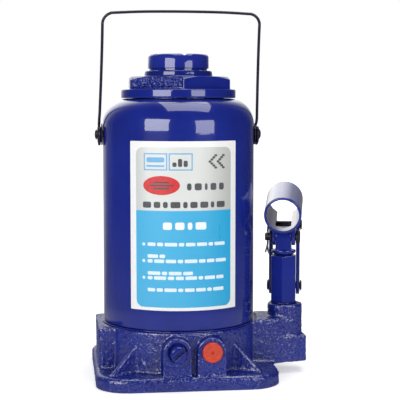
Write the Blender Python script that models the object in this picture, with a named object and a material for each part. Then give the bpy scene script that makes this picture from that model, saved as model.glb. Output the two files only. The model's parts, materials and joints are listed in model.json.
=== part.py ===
"""A 16 tonne bottle jack, in metres with +Z up.

The origin is at the foot's underside, on the ram's axis. +X points to the hand pump and
-Y to the front, where the two valves are. Lengths below are in millimetres times MM.
"""

import math

import bmesh
import bpy
from mathutils import Matrix, Vector

MM = 0.001
TURN = 2 * math.pi

# Segments round a circle, by the size of the piece
FINE = 40
MEDIUM = 28
SMALL = 16
TINY = 10

GAP = 0.3  # clearance between pieces that touch

# Foot and base casting
FOOT_WIDTH = 128.0
FOOT_DEPTH = 130.0
FOOT_THICK = 9.7
FOOT_CORNER = 22.0
FOOT_EDGE = 2.4
FOOT_SHIFT = 2.0  # the foot stands this far towards the pump
DRUM_RADIUS = 56.6
DRUM_TOP = 38.4
SEAT_FLOOR = 30.0
SEAT_RADIUS = 33.3
REGISTER_TOP = 43.5
OIL_WELL_FLOOR = 35.0
LUG_X = -59.4
LUG_HALF = 30.0
GUSSET_TOP = 28.4
GUSSET_START = (35.6, 44.0)
GUSSET_END = (52.5, 54.5)
GUSSET_HALF = 1.7

# Valve bosses in the front of the base
VALVE_Z = 26.6
BOSS_FACE = -63.0
BOSS_HALF = 10.0
RELEASE_X = -7.3
SAFETY_X = 16.4

# Reservoir tank, cylinder and cap nut
TANK_RADIUS = 54.4
TANK_WALL = 2.5
TANK_BOTTOM = 39.6
SHOULDER_Z = 180.3
SHOULDER_RADIUS = 18.4
TANK_TOP = SHOULDER_Z + SHOULDER_RADIUS
CYLINDER_RADIUS = 33.0
BORE_RADIUS = 27.5
CYLINDER_TOP = 205.6
FLANGE_BOTTOM = 199.7
FLANGE_TOP = 205.0
FLANGE_RADIUS = 41.2
HEX_TOP = 214.0
HEX_FLATS = 70.6
COLLAR_TOP = 218.3
LABEL_BOTTOM = 53.8
LABEL_TOP = 169.7
LABEL_HALF_ANGLE = math.radians(41.45)
LABEL_TURN = math.radians(-1.5)

# Ram and extension screw
RAM_RADIUS = 21.0
RAM_TOP = 218.0
RAM_BORE = 15.6
PISTON_RADIUS = 27.2
PISTON_BOTTOM = 44.0
PISTON_TOP = 51.0
SCREW_RADIUS = 15.0
SCREW_BOTTOM = 80.0
SADDLE_RADIUS = 21.85
SADDLE_BOTTOM = 218.5
SADDLE_TOP = 230.0

# Carrying bail
PIVOT_Z = 173.0
WIRE_RADIUS = 1.0
BAIL_FOOT_X = 57.0
BAIL_TOP_X = 55.0
BAIL_REACH = 90.3
BAIL_EYE_RADIUS = 7.0
PIVOT_BOSS_RADIUS = 5.6
BAIL_TILT = math.radians(16.5)

# Hand pump. Its own frame has x across, y to the back and z up.
PUMP_X = 76.2
PUMP_Y = -8.0
PUMP_YAW = math.radians(-13.5)
PUMP_BOSS_RADIUS = 12.5
PUMP_BOSS_TOP = 50.0
PUMP_BOSS_SHIFT = 1.0
BRIDGE_TOP = 41.0
BLOCK_BOTTOM = 8.0
BLOCK_STEP = 27.0
BLOCK_END_X = 91.5
COLUMN_FLATS = 17.5
COLUMN_TOP = 85.0
WELL_RADIUS = 7.4
WELL_FLOOR = 25.0
PLUNGER_RADIUS = 5.6
PLUNGER_HEAD_RADIUS = 8.8
PIN_Z = 98.3
EYE_HALF = 5.6
EYE_RADIUS = 7.6
LINK_Y = 17.0
LINK_LOW_Z = 60.0
LINK_HIGH_Z = 105.5
LINK_INNER = 8.7
LINK_OUTER = 11.2
LINK_END = 6.5
EAR_INNER = 5.9
EAR_OUTER = 8.4
EAR_END = 6.2
SOCKET_RADIUS = 13.4
SOCKET_BORE = 11.6
SOCKET_LENGTH = 43.0
SOCKET_TILT = math.radians(12)
SOCKET_FRONT = (-21.0, 115.6)
SLOT_FROM_FRONT = 9.0
SLOT_HALF = 5.6

PUMP = Matrix.Translation((PUMP_X * MM, PUMP_Y * MM, 0)) @ Matrix.Rotation(PUMP_YAW, 4, "Z")
WORLD = Matrix.Identity(4)
# Outlines drawn in a side view, as (back, up), and extruded across
SIDE = Matrix(((0, 0, 1, 0), (1, 0, 0, 0), (0, 1, 0, 0), (0, 0, 0, 1)))


# ---- materials ------------------------------------------------------------------------------

def paint(name, colour, roughness, metallic=0.0):
    """A Principled material of one colour."""
    material = bpy.data.materials.new(name)
    material.use_nodes = True
    shader = material.node_tree.nodes["Principled BSDF"]
    shader.inputs["Base Color"].default_value = (*colour, 1)
    shader.inputs["Roughness"].default_value = roughness
    shader.inputs["Metallic"].default_value = metallic
    return material


# ---- shapes ---------------------------------------------------------------------------------

def at(x, y, z):
    return Matrix.Translation((x * MM, y * MM, z * MM))


def facing_front(x, y, z):
    """A frame whose Z axis points to the front, -Y."""
    return at(x, y, z) @ Matrix.Rotation(TURN / 4, 4, "X")


def across(y, z):
    """A frame in the pump whose Z axis runs across it, for its pins."""
    return PUMP @ at(0, y, z) @ Matrix.Rotation(TURN / 4, 4, "Y")


def finish_object(name, mesh_data, material):
    """An object from a bmesh, its faces turned outwards and its round sides smooth."""
    bmesh.ops.recalc_face_normals(mesh_data, faces=mesh_data.faces)
    mesh = bpy.data.meshes.new(name)
    mesh_data.to_mesh(mesh)
    mesh_data.free()
    mesh.materials.append(material)
    mesh.shade_smooth()
    mesh.set_sharp_from_angle(angle=math.radians(32))
    made = bpy.data.objects.new(name, mesh)
    bpy.context.scene.collection.objects.link(made)
    return made


def lathe(name, outline, material, segments=MEDIUM, frame=WORLD, phase=0.0):
    """Turns a closed outline of (radius, height) points round the frame's Z axis."""
    shape = bmesh.new()
    rings = []
    for radius, height in outline:
        if radius == 0:
            rings.append([shape.verts.new(frame @ Vector((0, 0, height * MM)))] * segments)
            continue
        ring = []
        for step in range(segments):
            angle = phase + TURN * step / segments
            place = Vector((radius * math.cos(angle), radius * math.sin(angle), height))
            ring.append(shape.verts.new(frame @ (place * MM)))
        rings.append(ring)
    for lower, upper in zip(rings, rings[1:] + rings[:1]):
        for step in range(segments):
            after = (step + 1) % segments
            corners = list(dict.fromkeys((lower[step], lower[after], upper[after], upper[step])))
            if len(corners) > 2:
                shape.faces.new(corners)
    return finish_object(name, shape, material)


def rod(name, radius, low, high, material, segments=SMALL, frame=WORLD, phase=0.0, edge=0.0):
    """A plain round bar along the frame's Z axis, with a chamfer at each end if edge is given."""
    outline = [(0, low), (radius, low), (radius, high), (0, high)]
    if edge:
        outline[1:3] = [(radius - edge, low), (radius, low + edge), (radius, high - edge),
                        (radius - edge, high)]
    return lathe(name, outline, material, segments, frame, phase)


def ring(name, inner, outer, low, high, material, segments=MEDIUM, frame=WORLD):
    outline = [(inner, low), (outer, low), (outer, high), (inner, high)]
    return lathe(name, outline, material, segments, frame)


def prism(name, outline, low, high, material, frame=WORLD):
    """Extrudes an outline of (x, y) points along the frame's Z axis."""
    return stack(name, [(outline, low), (outline, high)], material, frame)


def stack(name, layers, material, frame=WORLD):
    """Joins outlines of equal length, each given with its height, into one solid."""
    shape = bmesh.new()
    rings = []
    for outline, height in layers:
        rings.append([shape.verts.new(frame @ (Vector((x, y, height)) * MM)) for x, y in outline])
    shape.faces.new(rings[0][::-1])
    shape.faces.new(rings[-1])
    for lower, upper in zip(rings, rings[1:]):
        for step in range(len(lower)):
            after = (step + 1) % len(lower)
            shape.faces.new((lower[step], lower[after], upper[after], upper[step]))
    return finish_object(name, shape, material)


def ball(name, centre, radius, material):
    shape = bmesh.new()
    place = at(*centre)
    bmesh.ops.create_uvsphere(shape, u_segments=TINY, v_segments=6, radius=radius * MM, matrix=place)
    return finish_object(name, shape, material)


def sweep(name, path, radius, material, sides=10, frame=WORLD):
    """A round wire along a path of points, with flat ends."""
    shape = bmesh.new()
    points = [Vector(point) for point in path]
    side = (points[1] - points[0]).orthogonal().normalized()
    rings = []
    for index, point in enumerate(points):
        before = points[max(index - 1, 0)]
        after = points[min(index + 1, len(points) - 1)]
        along = (after - before).normalized()
        side = (side - along * side.dot(along)).normalized()
        up = along.cross(side)
        ring_points = []
        for step in range(sides):
            angle = TURN * step / sides
            place = point + radius * (math.cos(angle) * side + math.sin(angle) * up)
            ring_points.append(shape.verts.new(frame @ (place * MM)))
        rings.append(ring_points)
    for lower, upper in zip(rings, rings[1:]):
        for step in range(sides):
            after = (step + 1) % sides
            shape.faces.new((lower[step], lower[after], upper[after], upper[step]))
    shape.faces.new(rings[0][::-1])
    shape.faces.new(rings[-1])
    return finish_object(name, shape, material)


def combine(target, tool, operation):
    """Applies one Boolean to the target and removes the tool."""
    modifier = target.modifiers.new(operation.title(), "BOOLEAN")
    modifier.operation = operation
    modifier.object = tool
    bpy.context.view_layer.update()
    evaluated = target.evaluated_get(bpy.context.evaluated_depsgraph_get())
    target.data = bpy.data.meshes.new_from_object(evaluated)
    target.modifiers.clear()
    bpy.data.objects.remove(tool)


def join(target, *others):
    for other in others:
        combine(target, other, "UNION")


def cut(target, *cutters):
    for cutter in cutters:
        combine(target, cutter, "DIFFERENCE")


# ---- outlines -------------------------------------------------------------------------------

def arc(centre, radius, start, end, steps):
    """Points on a circle from one angle to another, in degrees."""
    points = []
    for step in range(steps + 1):
        angle = math.radians(start + (end - start) * step / steps)
        points.append((centre[0] + radius * math.cos(angle), centre[1] + radius * math.sin(angle)))
    return points


def rounded_box(half_x, half_y, corner, steps=5):
    points = []
    for sign_x, sign_y, start in ((1, 1, 0), (-1, 1, 90), (-1, -1, 180), (1, -1, 270)):
        centre = (sign_x * (half_x - corner), sign_y * (half_y - corner))
        points += arc(centre, corner, start, start + 90, steps)
    return points


def belt(first, second, radius, steps=8):
    """The outline of a strap with round ends, from one centre to another."""
    angle = math.degrees(math.atan2(second[1] - first[1], second[0] - first[0]))
    return (arc(second, radius, angle - 90, angle + 90, steps)
            + arc(first, radius, angle + 90, angle + 270, steps))


def hexagon(flats, corner_angle):
    """A hexagon with one corner at the given angle, in degrees."""
    return arc((0, 0), flats / 2 / math.cos(TURN / 12), corner_angle, corner_angle + 300, 5)


# ---- base -----------------------------------------------------------------------------------

def foot_plate(material):
    """The foot, with rounded corners and a rounded upper edge."""
    layers = [(rounded_box(FOOT_WIDTH / 2, FOOT_DEPTH / 2, FOOT_CORNER), 0)]
    for step in range(3):
        angle = TURN / 4 * step / 2
        inset = FOOT_EDGE * (1 - math.cos(angle))
        height = FOOT_THICK - FOOT_EDGE * (1 - math.sin(angle))
        outline = rounded_box(FOOT_WIDTH / 2 - inset, FOOT_DEPTH / 2 - inset, FOOT_CORNER - inset)
        layers.append((outline, height))
    return stack("base_casting", layers, material, at(FOOT_SHIFT, 0, 0))


def gusset(side_x, side_y, material):
    """A sloping rib from the drum's wall down to a corner of the foot."""
    start = Vector((GUSSET_START[0] * side_x, GUSSET_START[1] * side_y))
    end = Vector((GUSSET_END[0] * side_x, GUSSET_END[1] * side_y))
    heading = math.atan2(end.y - start.y, end.x - start.x)
    frame = at(start.x, start.y, 0) @ Matrix.Rotation(heading, 4, "Z")
    upright = frame @ Matrix.Rotation(TURN / 4, 4, "X")
    length = (end - start).length
    outline = [(-8, 5), (length + 0.5, 5), (length + 0.5, FOOT_THICK - 0.4), (length, FOOT_THICK + 0.4),
               (0, GUSSET_TOP), (-8, GUSSET_TOP)]
    return prism("rib", outline, -GUSSET_HALF, GUSSET_HALF, material, upright)


def valve_boss(x, material):
    """An arch-topped block that stands out of the front of the drum."""
    half = BOSS_HALF
    outline = arc((0, VALVE_Z), half, 0, 180, 10) + [(-half, 6.0), (half, 6.0)]
    frame = at(x, 0, 0) @ Matrix.Rotation(TURN / 4, 4, "X")
    return prism("boss", outline, 44.0, -BOSS_FACE, material, frame)


def pump_block(material):
    """The tapering block, bridge and round boss that carry the hand pump."""
    mid = PUMP_Y
    low = [(44, mid - 18), (67, mid - 16.2), (BLOCK_END_X, mid - 9.6), (BLOCK_END_X, mid + 9.6),
           (67, mid + 16.2), (44, mid + 18)]
    block = prism("block", low, BLOCK_BOTTOM, BLOCK_STEP, material)
    bridge = [(44, mid - 18), (67, mid - 16.2), (77.2, mid - 12.3), (77.2, mid + 12.3),
              (67, mid + 16.2), (44, mid + 18)]
    boss_frame = at(PUMP_X + PUMP_BOSS_SHIFT, PUMP_Y, 0)
    join(block,
         prism("bridge", bridge, BLOCK_STEP - 5, BRIDGE_TOP, material),
         rod("round", PUMP_BOSS_RADIUS, 20, PUMP_BOSS_TOP, material, MEDIUM, boss_frame, edge=0.8))
    return block


def link_lug(material):
    """The lug behind the pump boss that holds the lower link pin."""
    outline = [(2, 30), (15, 30), (24, 42), (24, LINK_LOW_Z)]
    outline += arc((LINK_Y, LINK_LOW_Z), 7.0, 20, 150, 6)
    outline += [(11.2, LINK_LOW_Z), (11.2, PUMP_BOSS_TOP - 1), (2, PUMP_BOSS_TOP - 1)]
    return prism("lug", outline, -8.2, 8.2, material, PUMP @ SIDE)


def bore(radius, low, high, frame, material):
    """A drill to cut with. Each radius is turned by its own angle, so coaxial bores share no edge."""
    return rod("tool", radius, low, high, material, SMALL if radius > 5 else TINY, frame, phase=radius)


def base_bores(material):
    """The drilled wells and oil passages, each as a tool to cut with."""
    well = at(PUMP_X, PUMP_Y, 0)
    inlet = at(0, PUMP_Y, 12) @ Matrix.Rotation(TURN / 4, 4, "Y")
    outlet = at(0, PUMP_Y, 21.8) @ Matrix.Rotation(TURN / 4, 4, "Y")
    release = facing_front(RELEASE_X, 0, VALVE_Z)
    safety = facing_front(SAFETY_X, 0, VALVE_Z)
    drills = [
        # pump well, inlet ball chamber and its seat
        (WELL_RADIUS, WELL_FLOOR, 60, well),
        (4.6, 16.5, WELL_FLOOR + 1, well),
        (1.5, 11.3, 17, well),
        # inlet passage, drilled from the end of the block, and its drop from the oil well
        (1.8, 38.5, 110, inlet),
        (3.4, 79, 100, inlet),
        (1.3, 11.2, 40, at(41, PUMP_Y, 0)),
        # outlet passage to the ball chamber under the cylinder
        (1.6, 18, 73, outlet),
        (1.4, 21.4, 26, at(20, PUMP_Y, 0)),
        (3.2, 25, 36, at(20, PUMP_Y, 0)),
        # release valve bore, its feed from the cylinder and its return to the oil well
        (6.2, 52, 80, release),
        (4.4, 36.5, 90, release),
        (1.5, 20, 95, release),
        (1.3, VALVE_Z - 0.4, 40, at(RELEASE_X, -22, 0)),
        (1.3, VALVE_Z - 0.4, 40, at(RELEASE_X, -39.5, 0)),
        # safety valve bore, its feed from the cylinder and its return to the oil well
        (5.4, 47, 80, safety),
        (3.6, 36, 90, safety),
        (1.2, 20, 95, safety),
        (1.1, VALVE_Z - 0.3, 40, at(SAFETY_X, -22, 0)),
        (1.1, VALVE_Z - 0.3, 40, at(SAFETY_X, -39.5, 0)),
        # lower link pin
        (2.8, -20, 20, across(LINK_Y, LINK_LOW_Z)),
    ]
    return [bore(radius, low, high, frame, material) for radius, low, high, frame in drills]


def make_base(material):
    """The base casting: foot, drum, left lug, pump block, valve bosses and ribs, then its bores."""
    base = foot_plate(material)
    lug = [(x - 52.0, y) for x, y in rounded_box(-LUG_X - 52.0, LUG_HALF, 2.5, 3)]
    join(base,
         rod("drum", DRUM_RADIUS, 3, REGISTER_TOP, material, FINE),
         prism("lug", lug, 5, DRUM_TOP - 0.6, material),
         pump_block(material),
         link_lug(material))
    for x in (RELEASE_X, SAFETY_X):
        join(base, valve_boss(x, material))
    for side_x in (-1, 1):
        for side_y in (-1, 1):
            join(base, gusset(side_x, side_y, material))
    cut(base,
        ring("tool", 51.2, DRUM_RADIUS + 0.3, DRUM_TOP, 80, material, FINE),
        ring("tool", 36.7, 46.8, OIL_WELL_FLOOR, 80, material, FINE),
        rod("tool", SEAT_RADIUS, SEAT_FLOOR, 80, material, FINE))
    cut(base, *base_bores(material))
    return base


# ---- tank, cylinder and cap nut -----------------------------------------------------------------

def tank_outline():
    """The tank's wall, its rounded shoulder and its flat top ring, as a closed outline."""
    centre = (TANK_RADIUS - SHOULDER_RADIUS, SHOULDER_Z)
    outer = arc(centre, SHOULDER_RADIUS, 0, 90, 6)
    inner = arc(centre, SHOULDER_RADIUS - TANK_WALL, 90, 0, 3)
    inner_foot = (TANK_RADIUS - TANK_WALL, TANK_BOTTOM)
    return ([(TANK_RADIUS, TANK_BOTTOM)] + outer + [(33.6, TANK_TOP), (33.6, TANK_TOP - TANK_WALL)]
            + inner + [inner_foot])


def make_tank(material):
    tank = lathe("reservoir_tank", tank_outline(), material, FINE)
    to_back = at(0, 0, PIVOT_Z - 6) @ Matrix.Rotation(-TURN / 4, 4, "X")
    to_side = at(0, 0, PIVOT_Z) @ Matrix.Rotation(TURN / 4, 4, "Y")
    filler = rod("tool", 5.6, 45, 62, material, TINY, to_back)
    pivots = rod("tool", 2.7, -62, 62, material, TINY, to_side)
    cut(tank, filler, pivots)
    return tank


def make_cap_nut(material):
    """The flanged hexagon nut, with the guide sleeve that stops the piston and a raised collar."""
    bore_radius = RAM_RADIUS + 0.1
    core = HEX_FLATS / 2 - 2
    outline = [(bore_radius, 197.5), (30, 197.5), (30, FLANGE_BOTTOM), (FLANGE_RADIUS, FLANGE_BOTTOM),
               (FLANGE_RADIUS, FLANGE_TOP), (core, FLANGE_TOP), (core, HEX_TOP - 0.5),
               (24.9, HEX_TOP - 0.5), (23.6, COLLAR_TOP), (22.6, COLLAR_TOP), (22.6, COLLAR_TOP - 3.2),
               (bore_radius, COLLAR_TOP - 3.2), (bore_radius, 203.2), (22.6, 203.2), (22.6, 200.2),
               (bore_radius, 200.2)]
    nut = lathe("cap_nut", outline, material, FINE)
    flats = prism("hexagon", hexagon(HEX_FLATS, 268), FLANGE_TOP - 1, HEX_TOP, material)
    corner = HEX_FLATS / 2 / math.cos(TURN / 12)
    cone = [(0, FLANGE_TOP - 2), (corner + 0.4, FLANGE_TOP - 2), (corner + 0.4, HEX_TOP - 2.6),
            (HEX_FLATS / 2 - 0.6, HEX_TOP + 0.4), (0, HEX_TOP + 0.4)]
    chamfer = lathe("cone", cone, material, FINE)
    combine(flats, chamfer, "INTERSECT")
    cut(flats, rod("tool", 23.8, 190, 230, material, FINE, phase=0.01))
    join(nut, flats)
    cut(nut, ring("tool", BORE_RADIUS - GAP, CYLINDER_RADIUS + GAP, 190, CYLINDER_TOP + 0.6,
                  material, FINE))
    return nut


def make_label(material):
    """The thin label wrapped round the front of the tank."""
    steps = 11
    inner = TANK_RADIUS + 0.25
    outer = inner + 0.35
    start = math.degrees(-TURN / 4 + LABEL_TURN - LABEL_HALF_ANGLE)
    end = math.degrees(-TURN / 4 + LABEL_TURN + LABEL_HALF_ANGLE)
    outline = arc((0, 0), outer, start, end, steps) + arc((0, 0), inner, end, start, steps)
    return prism("label_plate", outline, LABEL_BOTTOM, LABEL_TOP, material)


# ---- ram and extension screw -------------------------------------------------------------------

def make_ram(material):
    """The hollow ram with its piston head and the stud that holds the cup seal."""
    outline = [(0, 33), (9, 33), (9, PISTON_BOTTOM),
               (PISTON_RADIUS, PISTON_BOTTOM), (PISTON_RADIUS, PISTON_TOP),
               (RAM_RADIUS, PISTON_TOP), (RAM_RADIUS, RAM_TOP - 1), (RAM_RADIUS - 1, RAM_TOP),
               (RAM_BORE, RAM_TOP), (RAM_BORE, 70), (0, 66)]
    return lathe("ram", outline, material, FINE)


def make_extension_screw(material):
    """The screw that turns in the ram, with the saddle forged on its top."""
    outline = [(0, SCREW_BOTTOM), (13.2, SCREW_BOTTOM), (13.2, SCREW_BOTTOM + 2), (12.2, SCREW_BOTTOM + 2),
               (12.2, SCREW_BOTTOM + 4.2), (SCREW_RADIUS, SCREW_BOTTOM + 6), (SCREW_RADIUS, SADDLE_BOTTOM),
               (SADDLE_RADIUS - 0.9, SADDLE_BOTTOM), (SADDLE_RADIUS - 0.9, SADDLE_BOTTOM + 1.2),
               (SADDLE_RADIUS, SADDLE_BOTTOM + 1.4), (SADDLE_RADIUS, SADDLE_TOP - 2),
               (SADDLE_RADIUS - 2, SADDLE_TOP), (6, SADDLE_TOP), (4, SADDLE_TOP - 2), (0, SADDLE_TOP - 2.5)]
    screw = lathe("extension_screw", outline, material, FINE)
    groove = [(-1.2, SADDLE_TOP + 1), (1.2, SADDLE_TOP + 1),
              (1.2, SADDLE_TOP - 1), (-1.2, SADDLE_TOP - 1)]
    for step in range(3):
        turned = Matrix.Rotation(TURN / 6 * step + math.radians(36), 4, "Z") @ SIDE
        cut(screw, prism("tool", groove, -30, 30, material, turned))
    return screw


# ---- bail -----------------------------------------------------------------------------------

def make_bail(material):
    """The wire carrying handle, bent to an eye round each pivot boss."""
    corner = 8.0
    top = BAIL_REACH - WIRE_RADIUS
    right = [(BAIL_FOOT_X, 0, BAIL_EYE_RADIUS), (BAIL_TOP_X + 0.2, 0, 60.0)]
    centre = (BAIL_TOP_X - corner, top - corner - 1.2)
    right += [(x, 0, z) for x, z in arc(centre, corner, 0, 84, 5)]
    left = [(-x, y, z) for x, y, z in reversed(right)]
    path = right + [(0, 0, top)] + left
    frame = at(0, 0, PIVOT_Z) @ Matrix.Rotation(BAIL_TILT, 4, "X")
    bail = sweep("bail_handle", path, WIRE_RADIUS, material, 8, frame)
    for side in (-1, 1):
        eye = arc((BAIL_EYE_RADIUS, 0), WIRE_RADIUS, 10, 310, 5)
        where = frame @ at(side * BAIL_FOOT_X, 0, 0) @ Matrix.Rotation(TURN / 4, 4, "Y")
        join(bail, lathe("eye", eye, material, MEDIUM, where, phase=0.05))
    return bail


def make_pivot(name, side, material):
    """A rivet with a domed head that pins a pivot boss to the tank's wall."""
    dome = [(3.6 * math.cos(math.radians(a)), 59.0 + 1.3 * math.sin(math.radians(a))) for a in (20, 50)]
    outline = [(0, 49.5), (2.4, 49.5), (2.4, 58.6), (3.6, 58.6), (3.6, 59.0)] + dome + [(0, 60.3)]
    frame = at(0, 0, PIVOT_Z) @ Matrix.Rotation(side * TURN / 4, 4, "Y")
    return lathe(name, outline, material, SMALL, frame)


def make_pivot_boss(name, side, material):
    """The bush that the bail's eye turns on, with a wide flange against the tank."""
    outline = [(2.75, TANK_RADIUS + GAP), (7.8, TANK_RADIUS + GAP), (7.8, TANK_RADIUS + 1.1),
               (PIVOT_BOSS_RADIUS, TANK_RADIUS + 1.1), (PIVOT_BOSS_RADIUS, 58.3), (2.75, 58.3)]
    frame = at(0, 0, PIVOT_Z) @ Matrix.Rotation(side * TURN / 4, 4, "Y")
    return lathe(name, outline, material, SMALL, frame)


# ---- hand pump ------------------------------------------------------------------------------

def make_pump_body(material):
    """The hexagon pump barrel, screwed into the well of the base."""
    body = prism("pump_body", hexagon(COLUMN_FLATS, 270), PUMP_BOSS_TOP + 1.4, COLUMN_TOP, material, PUMP)
    join(body, rod("shank", WELL_RADIUS - GAP, 31, PUMP_BOSS_TOP + 3, material, SMALL, PUMP))
    cut(body, rod("tool", PLUNGER_RADIUS + 0.1, 25, 95, material, MEDIUM, PUMP),
        rod("tool", PLUNGER_RADIUS + 1.5, COLUMN_TOP - 4, 98, material, MEDIUM, PUMP, phase=0.05))
    return body


def make_plunger(material):
    """The plunger rod with its round head and the flat eye that takes the socket's pin."""
    rod_low = 32.5
    outline = [(0, rod_low), (4.2, rod_low), (4.2, rod_low + 2.6),
               (3.4, rod_low + 2.6), (3.4, rod_low + 5.6), (PLUNGER_RADIUS, rod_low + 5.6),
               (PLUNGER_RADIUS, COLUMN_TOP + 0.6), (6.8, COLUMN_TOP + 0.6),
               (PLUNGER_HEAD_RADIUS, COLUMN_TOP + 2), (PLUNGER_HEAD_RADIUS, PIN_Z - 9.3), (0, PIN_Z - 9.3)]
    plunger = lathe("pump_plunger", outline, material, MEDIUM, PUMP)
    eye = arc((0, PIN_Z), EYE_RADIUS, 0, 180, 10) + [(-EYE_RADIUS, PIN_Z - 10), (EYE_RADIUS, PIN_Z - 10)]
    join(plunger, prism("eye", eye, -EYE_HALF, EYE_HALF, material, PUMP @ SIDE))
    slot = belt((-1.3, PIN_Z), (1.3, PIN_Z), 3.35, 6)
    cut(plunger, prism("tool", slot, -20, 20, material, PUMP @ SIDE))
    return plunger


def socket_frame():
    """The frame of the handle socket: Z runs from its open front end along the bore."""
    front_y, front_z = SOCKET_FRONT
    return PUMP @ at(0, front_y, front_z) @ Matrix.Rotation(-TURN / 4 + SOCKET_TILT, 4, "X")


def make_socket(material):
    """The handle socket: a tube, slotted underneath, with two ears down to the pins."""
    frame = socket_frame()
    socket = rod("handle_socket", SOCKET_RADIUS, 0, SOCKET_LENGTH, material, MEDIUM, frame)
    axis_z = SOCKET_FRONT[1] - SOCKET_FRONT[0] * math.tan(SOCKET_TILT)
    slope = math.degrees(math.atan2(LINK_HIGH_Z - PIN_Z, LINK_Y))
    ear = arc((0, PIN_Z), EAR_END, 180, 270 + slope, 7)
    ear += arc((LINK_Y, LINK_HIGH_Z), EAR_END, 270 + slope, 360, 6)
    ear += [(LINK_Y + EAR_END, axis_z), (-EAR_END, axis_z)]
    for low, high in ((-EAR_OUTER, -EAR_INNER), (EAR_INNER, EAR_OUTER)):
        join(socket, prism("ear", ear, low, high, material, PUMP @ SIDE))
    bore_tool = rod("tool", SOCKET_BORE, -20, SOCKET_LENGTH + 20, material, MEDIUM, frame, phase=0.02)
    floor = [(-SLOT_HALF, 2), (SLOT_HALF, 2), (SLOT_HALF, 30), (-SLOT_HALF, 30)]
    cut(socket, bore_tool, prism("tool", floor, SLOT_FROM_FRONT, SOCKET_LENGTH + 20, material, frame))
    for back, up, radius in ((0, PIN_Z, 3.1), (LINK_Y, LINK_HIGH_Z, 2.85)):
        cut(socket, rod("tool", radius, -20, 20, material, TINY, across(back, up)))
    return socket


def make_link(name, low, high, material):
    """A flat link from the base's lug to the back of the socket."""
    link = prism(name, belt((LINK_Y, LINK_LOW_Z), (LINK_Y, LINK_HIGH_Z), LINK_END), low, high, material,
                 PUMP @ SIDE)
    for height in (LINK_LOW_Z, LINK_HIGH_Z):
        cut(link, rod("tool", 2.85, -20, 20, material, TINY, across(LINK_Y, height)))
    return link


def headed_pin(name, radius, head_radius, start, end, head, back, up, material):
    """A pin across the pump, from start to end, with a head of the given thickness past its end."""
    outline = [(0, start), (radius - 0.4, start), (radius, start + 0.4), (radius, end),
               (head_radius, end), (head_radius, end + head - 0.5),
               (head_radius - 0.5, end + head), (0, end + head)]
    return lathe(name, outline, material, TINY, across(back, up))


def riveted_pin(name, radius, head_radius, half, head, back, up, material):
    """A pin across the pump with a riveted head at each end."""
    outline = [(0, -half - head), (head_radius, -half - head), (head_radius, -half), (radius, -half),
               (radius, half), (head_radius, half), (head_radius, half + head), (0, half + head)]
    return lathe(name, outline, material, TINY, across(back, up))


def make_cotter(material):
    """The split pin through the left end of the plunger pin, its legs spread below."""
    frame = PUMP @ at(-11.6, 0, PIN_Z)
    path = [(0.9, 0, -12.0), (-0.3, 0, -8.0), (0, 0.0, -4.6), (0, 0, 3.6), (0, 1.2, 5.0), (0, 0.9, 6.9),
            (0, -0.9, 6.9), (0, -1.5, 5.2)]
    cotter = sweep("cotter_pin", path, 0.72, material, 8, frame)
    leg = [(0, 0, -3.9), (0, 0.3, -6.0), (-1.6, 0.9, -11.6)]
    join(cotter, sweep("leg", leg, 0.62, material, 8, frame))
    return cotter


# ---- assembly -------------------------------------------------------------------------------

def coil(name, mean_radius, wire, start, end, turns, material, frame):
    """A compression spring along the frame's Z axis."""
    steps = int(turns * 9)
    path = []
    for step in range(steps + 1):
        angle = TURN * turns * step / steps
        path.append((mean_radius * math.cos(angle), mean_radius * math.sin(angle),
                     start + (end - start) * step / steps))
    return sweep(name, path, wire, material, 5, frame)


def carry(name, place, *pieces):
    """Parents pieces to an empty that sits on their joint."""
    empty = bpy.data.objects.new(name, None)
    bpy.context.scene.collection.objects.link(empty)
    empty.matrix_world = place
    bpy.context.view_layer.update()
    for piece in pieces:
        piece.parent = empty
        piece.matrix_parent_inverse = empty.matrix_world.inverted()


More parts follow.
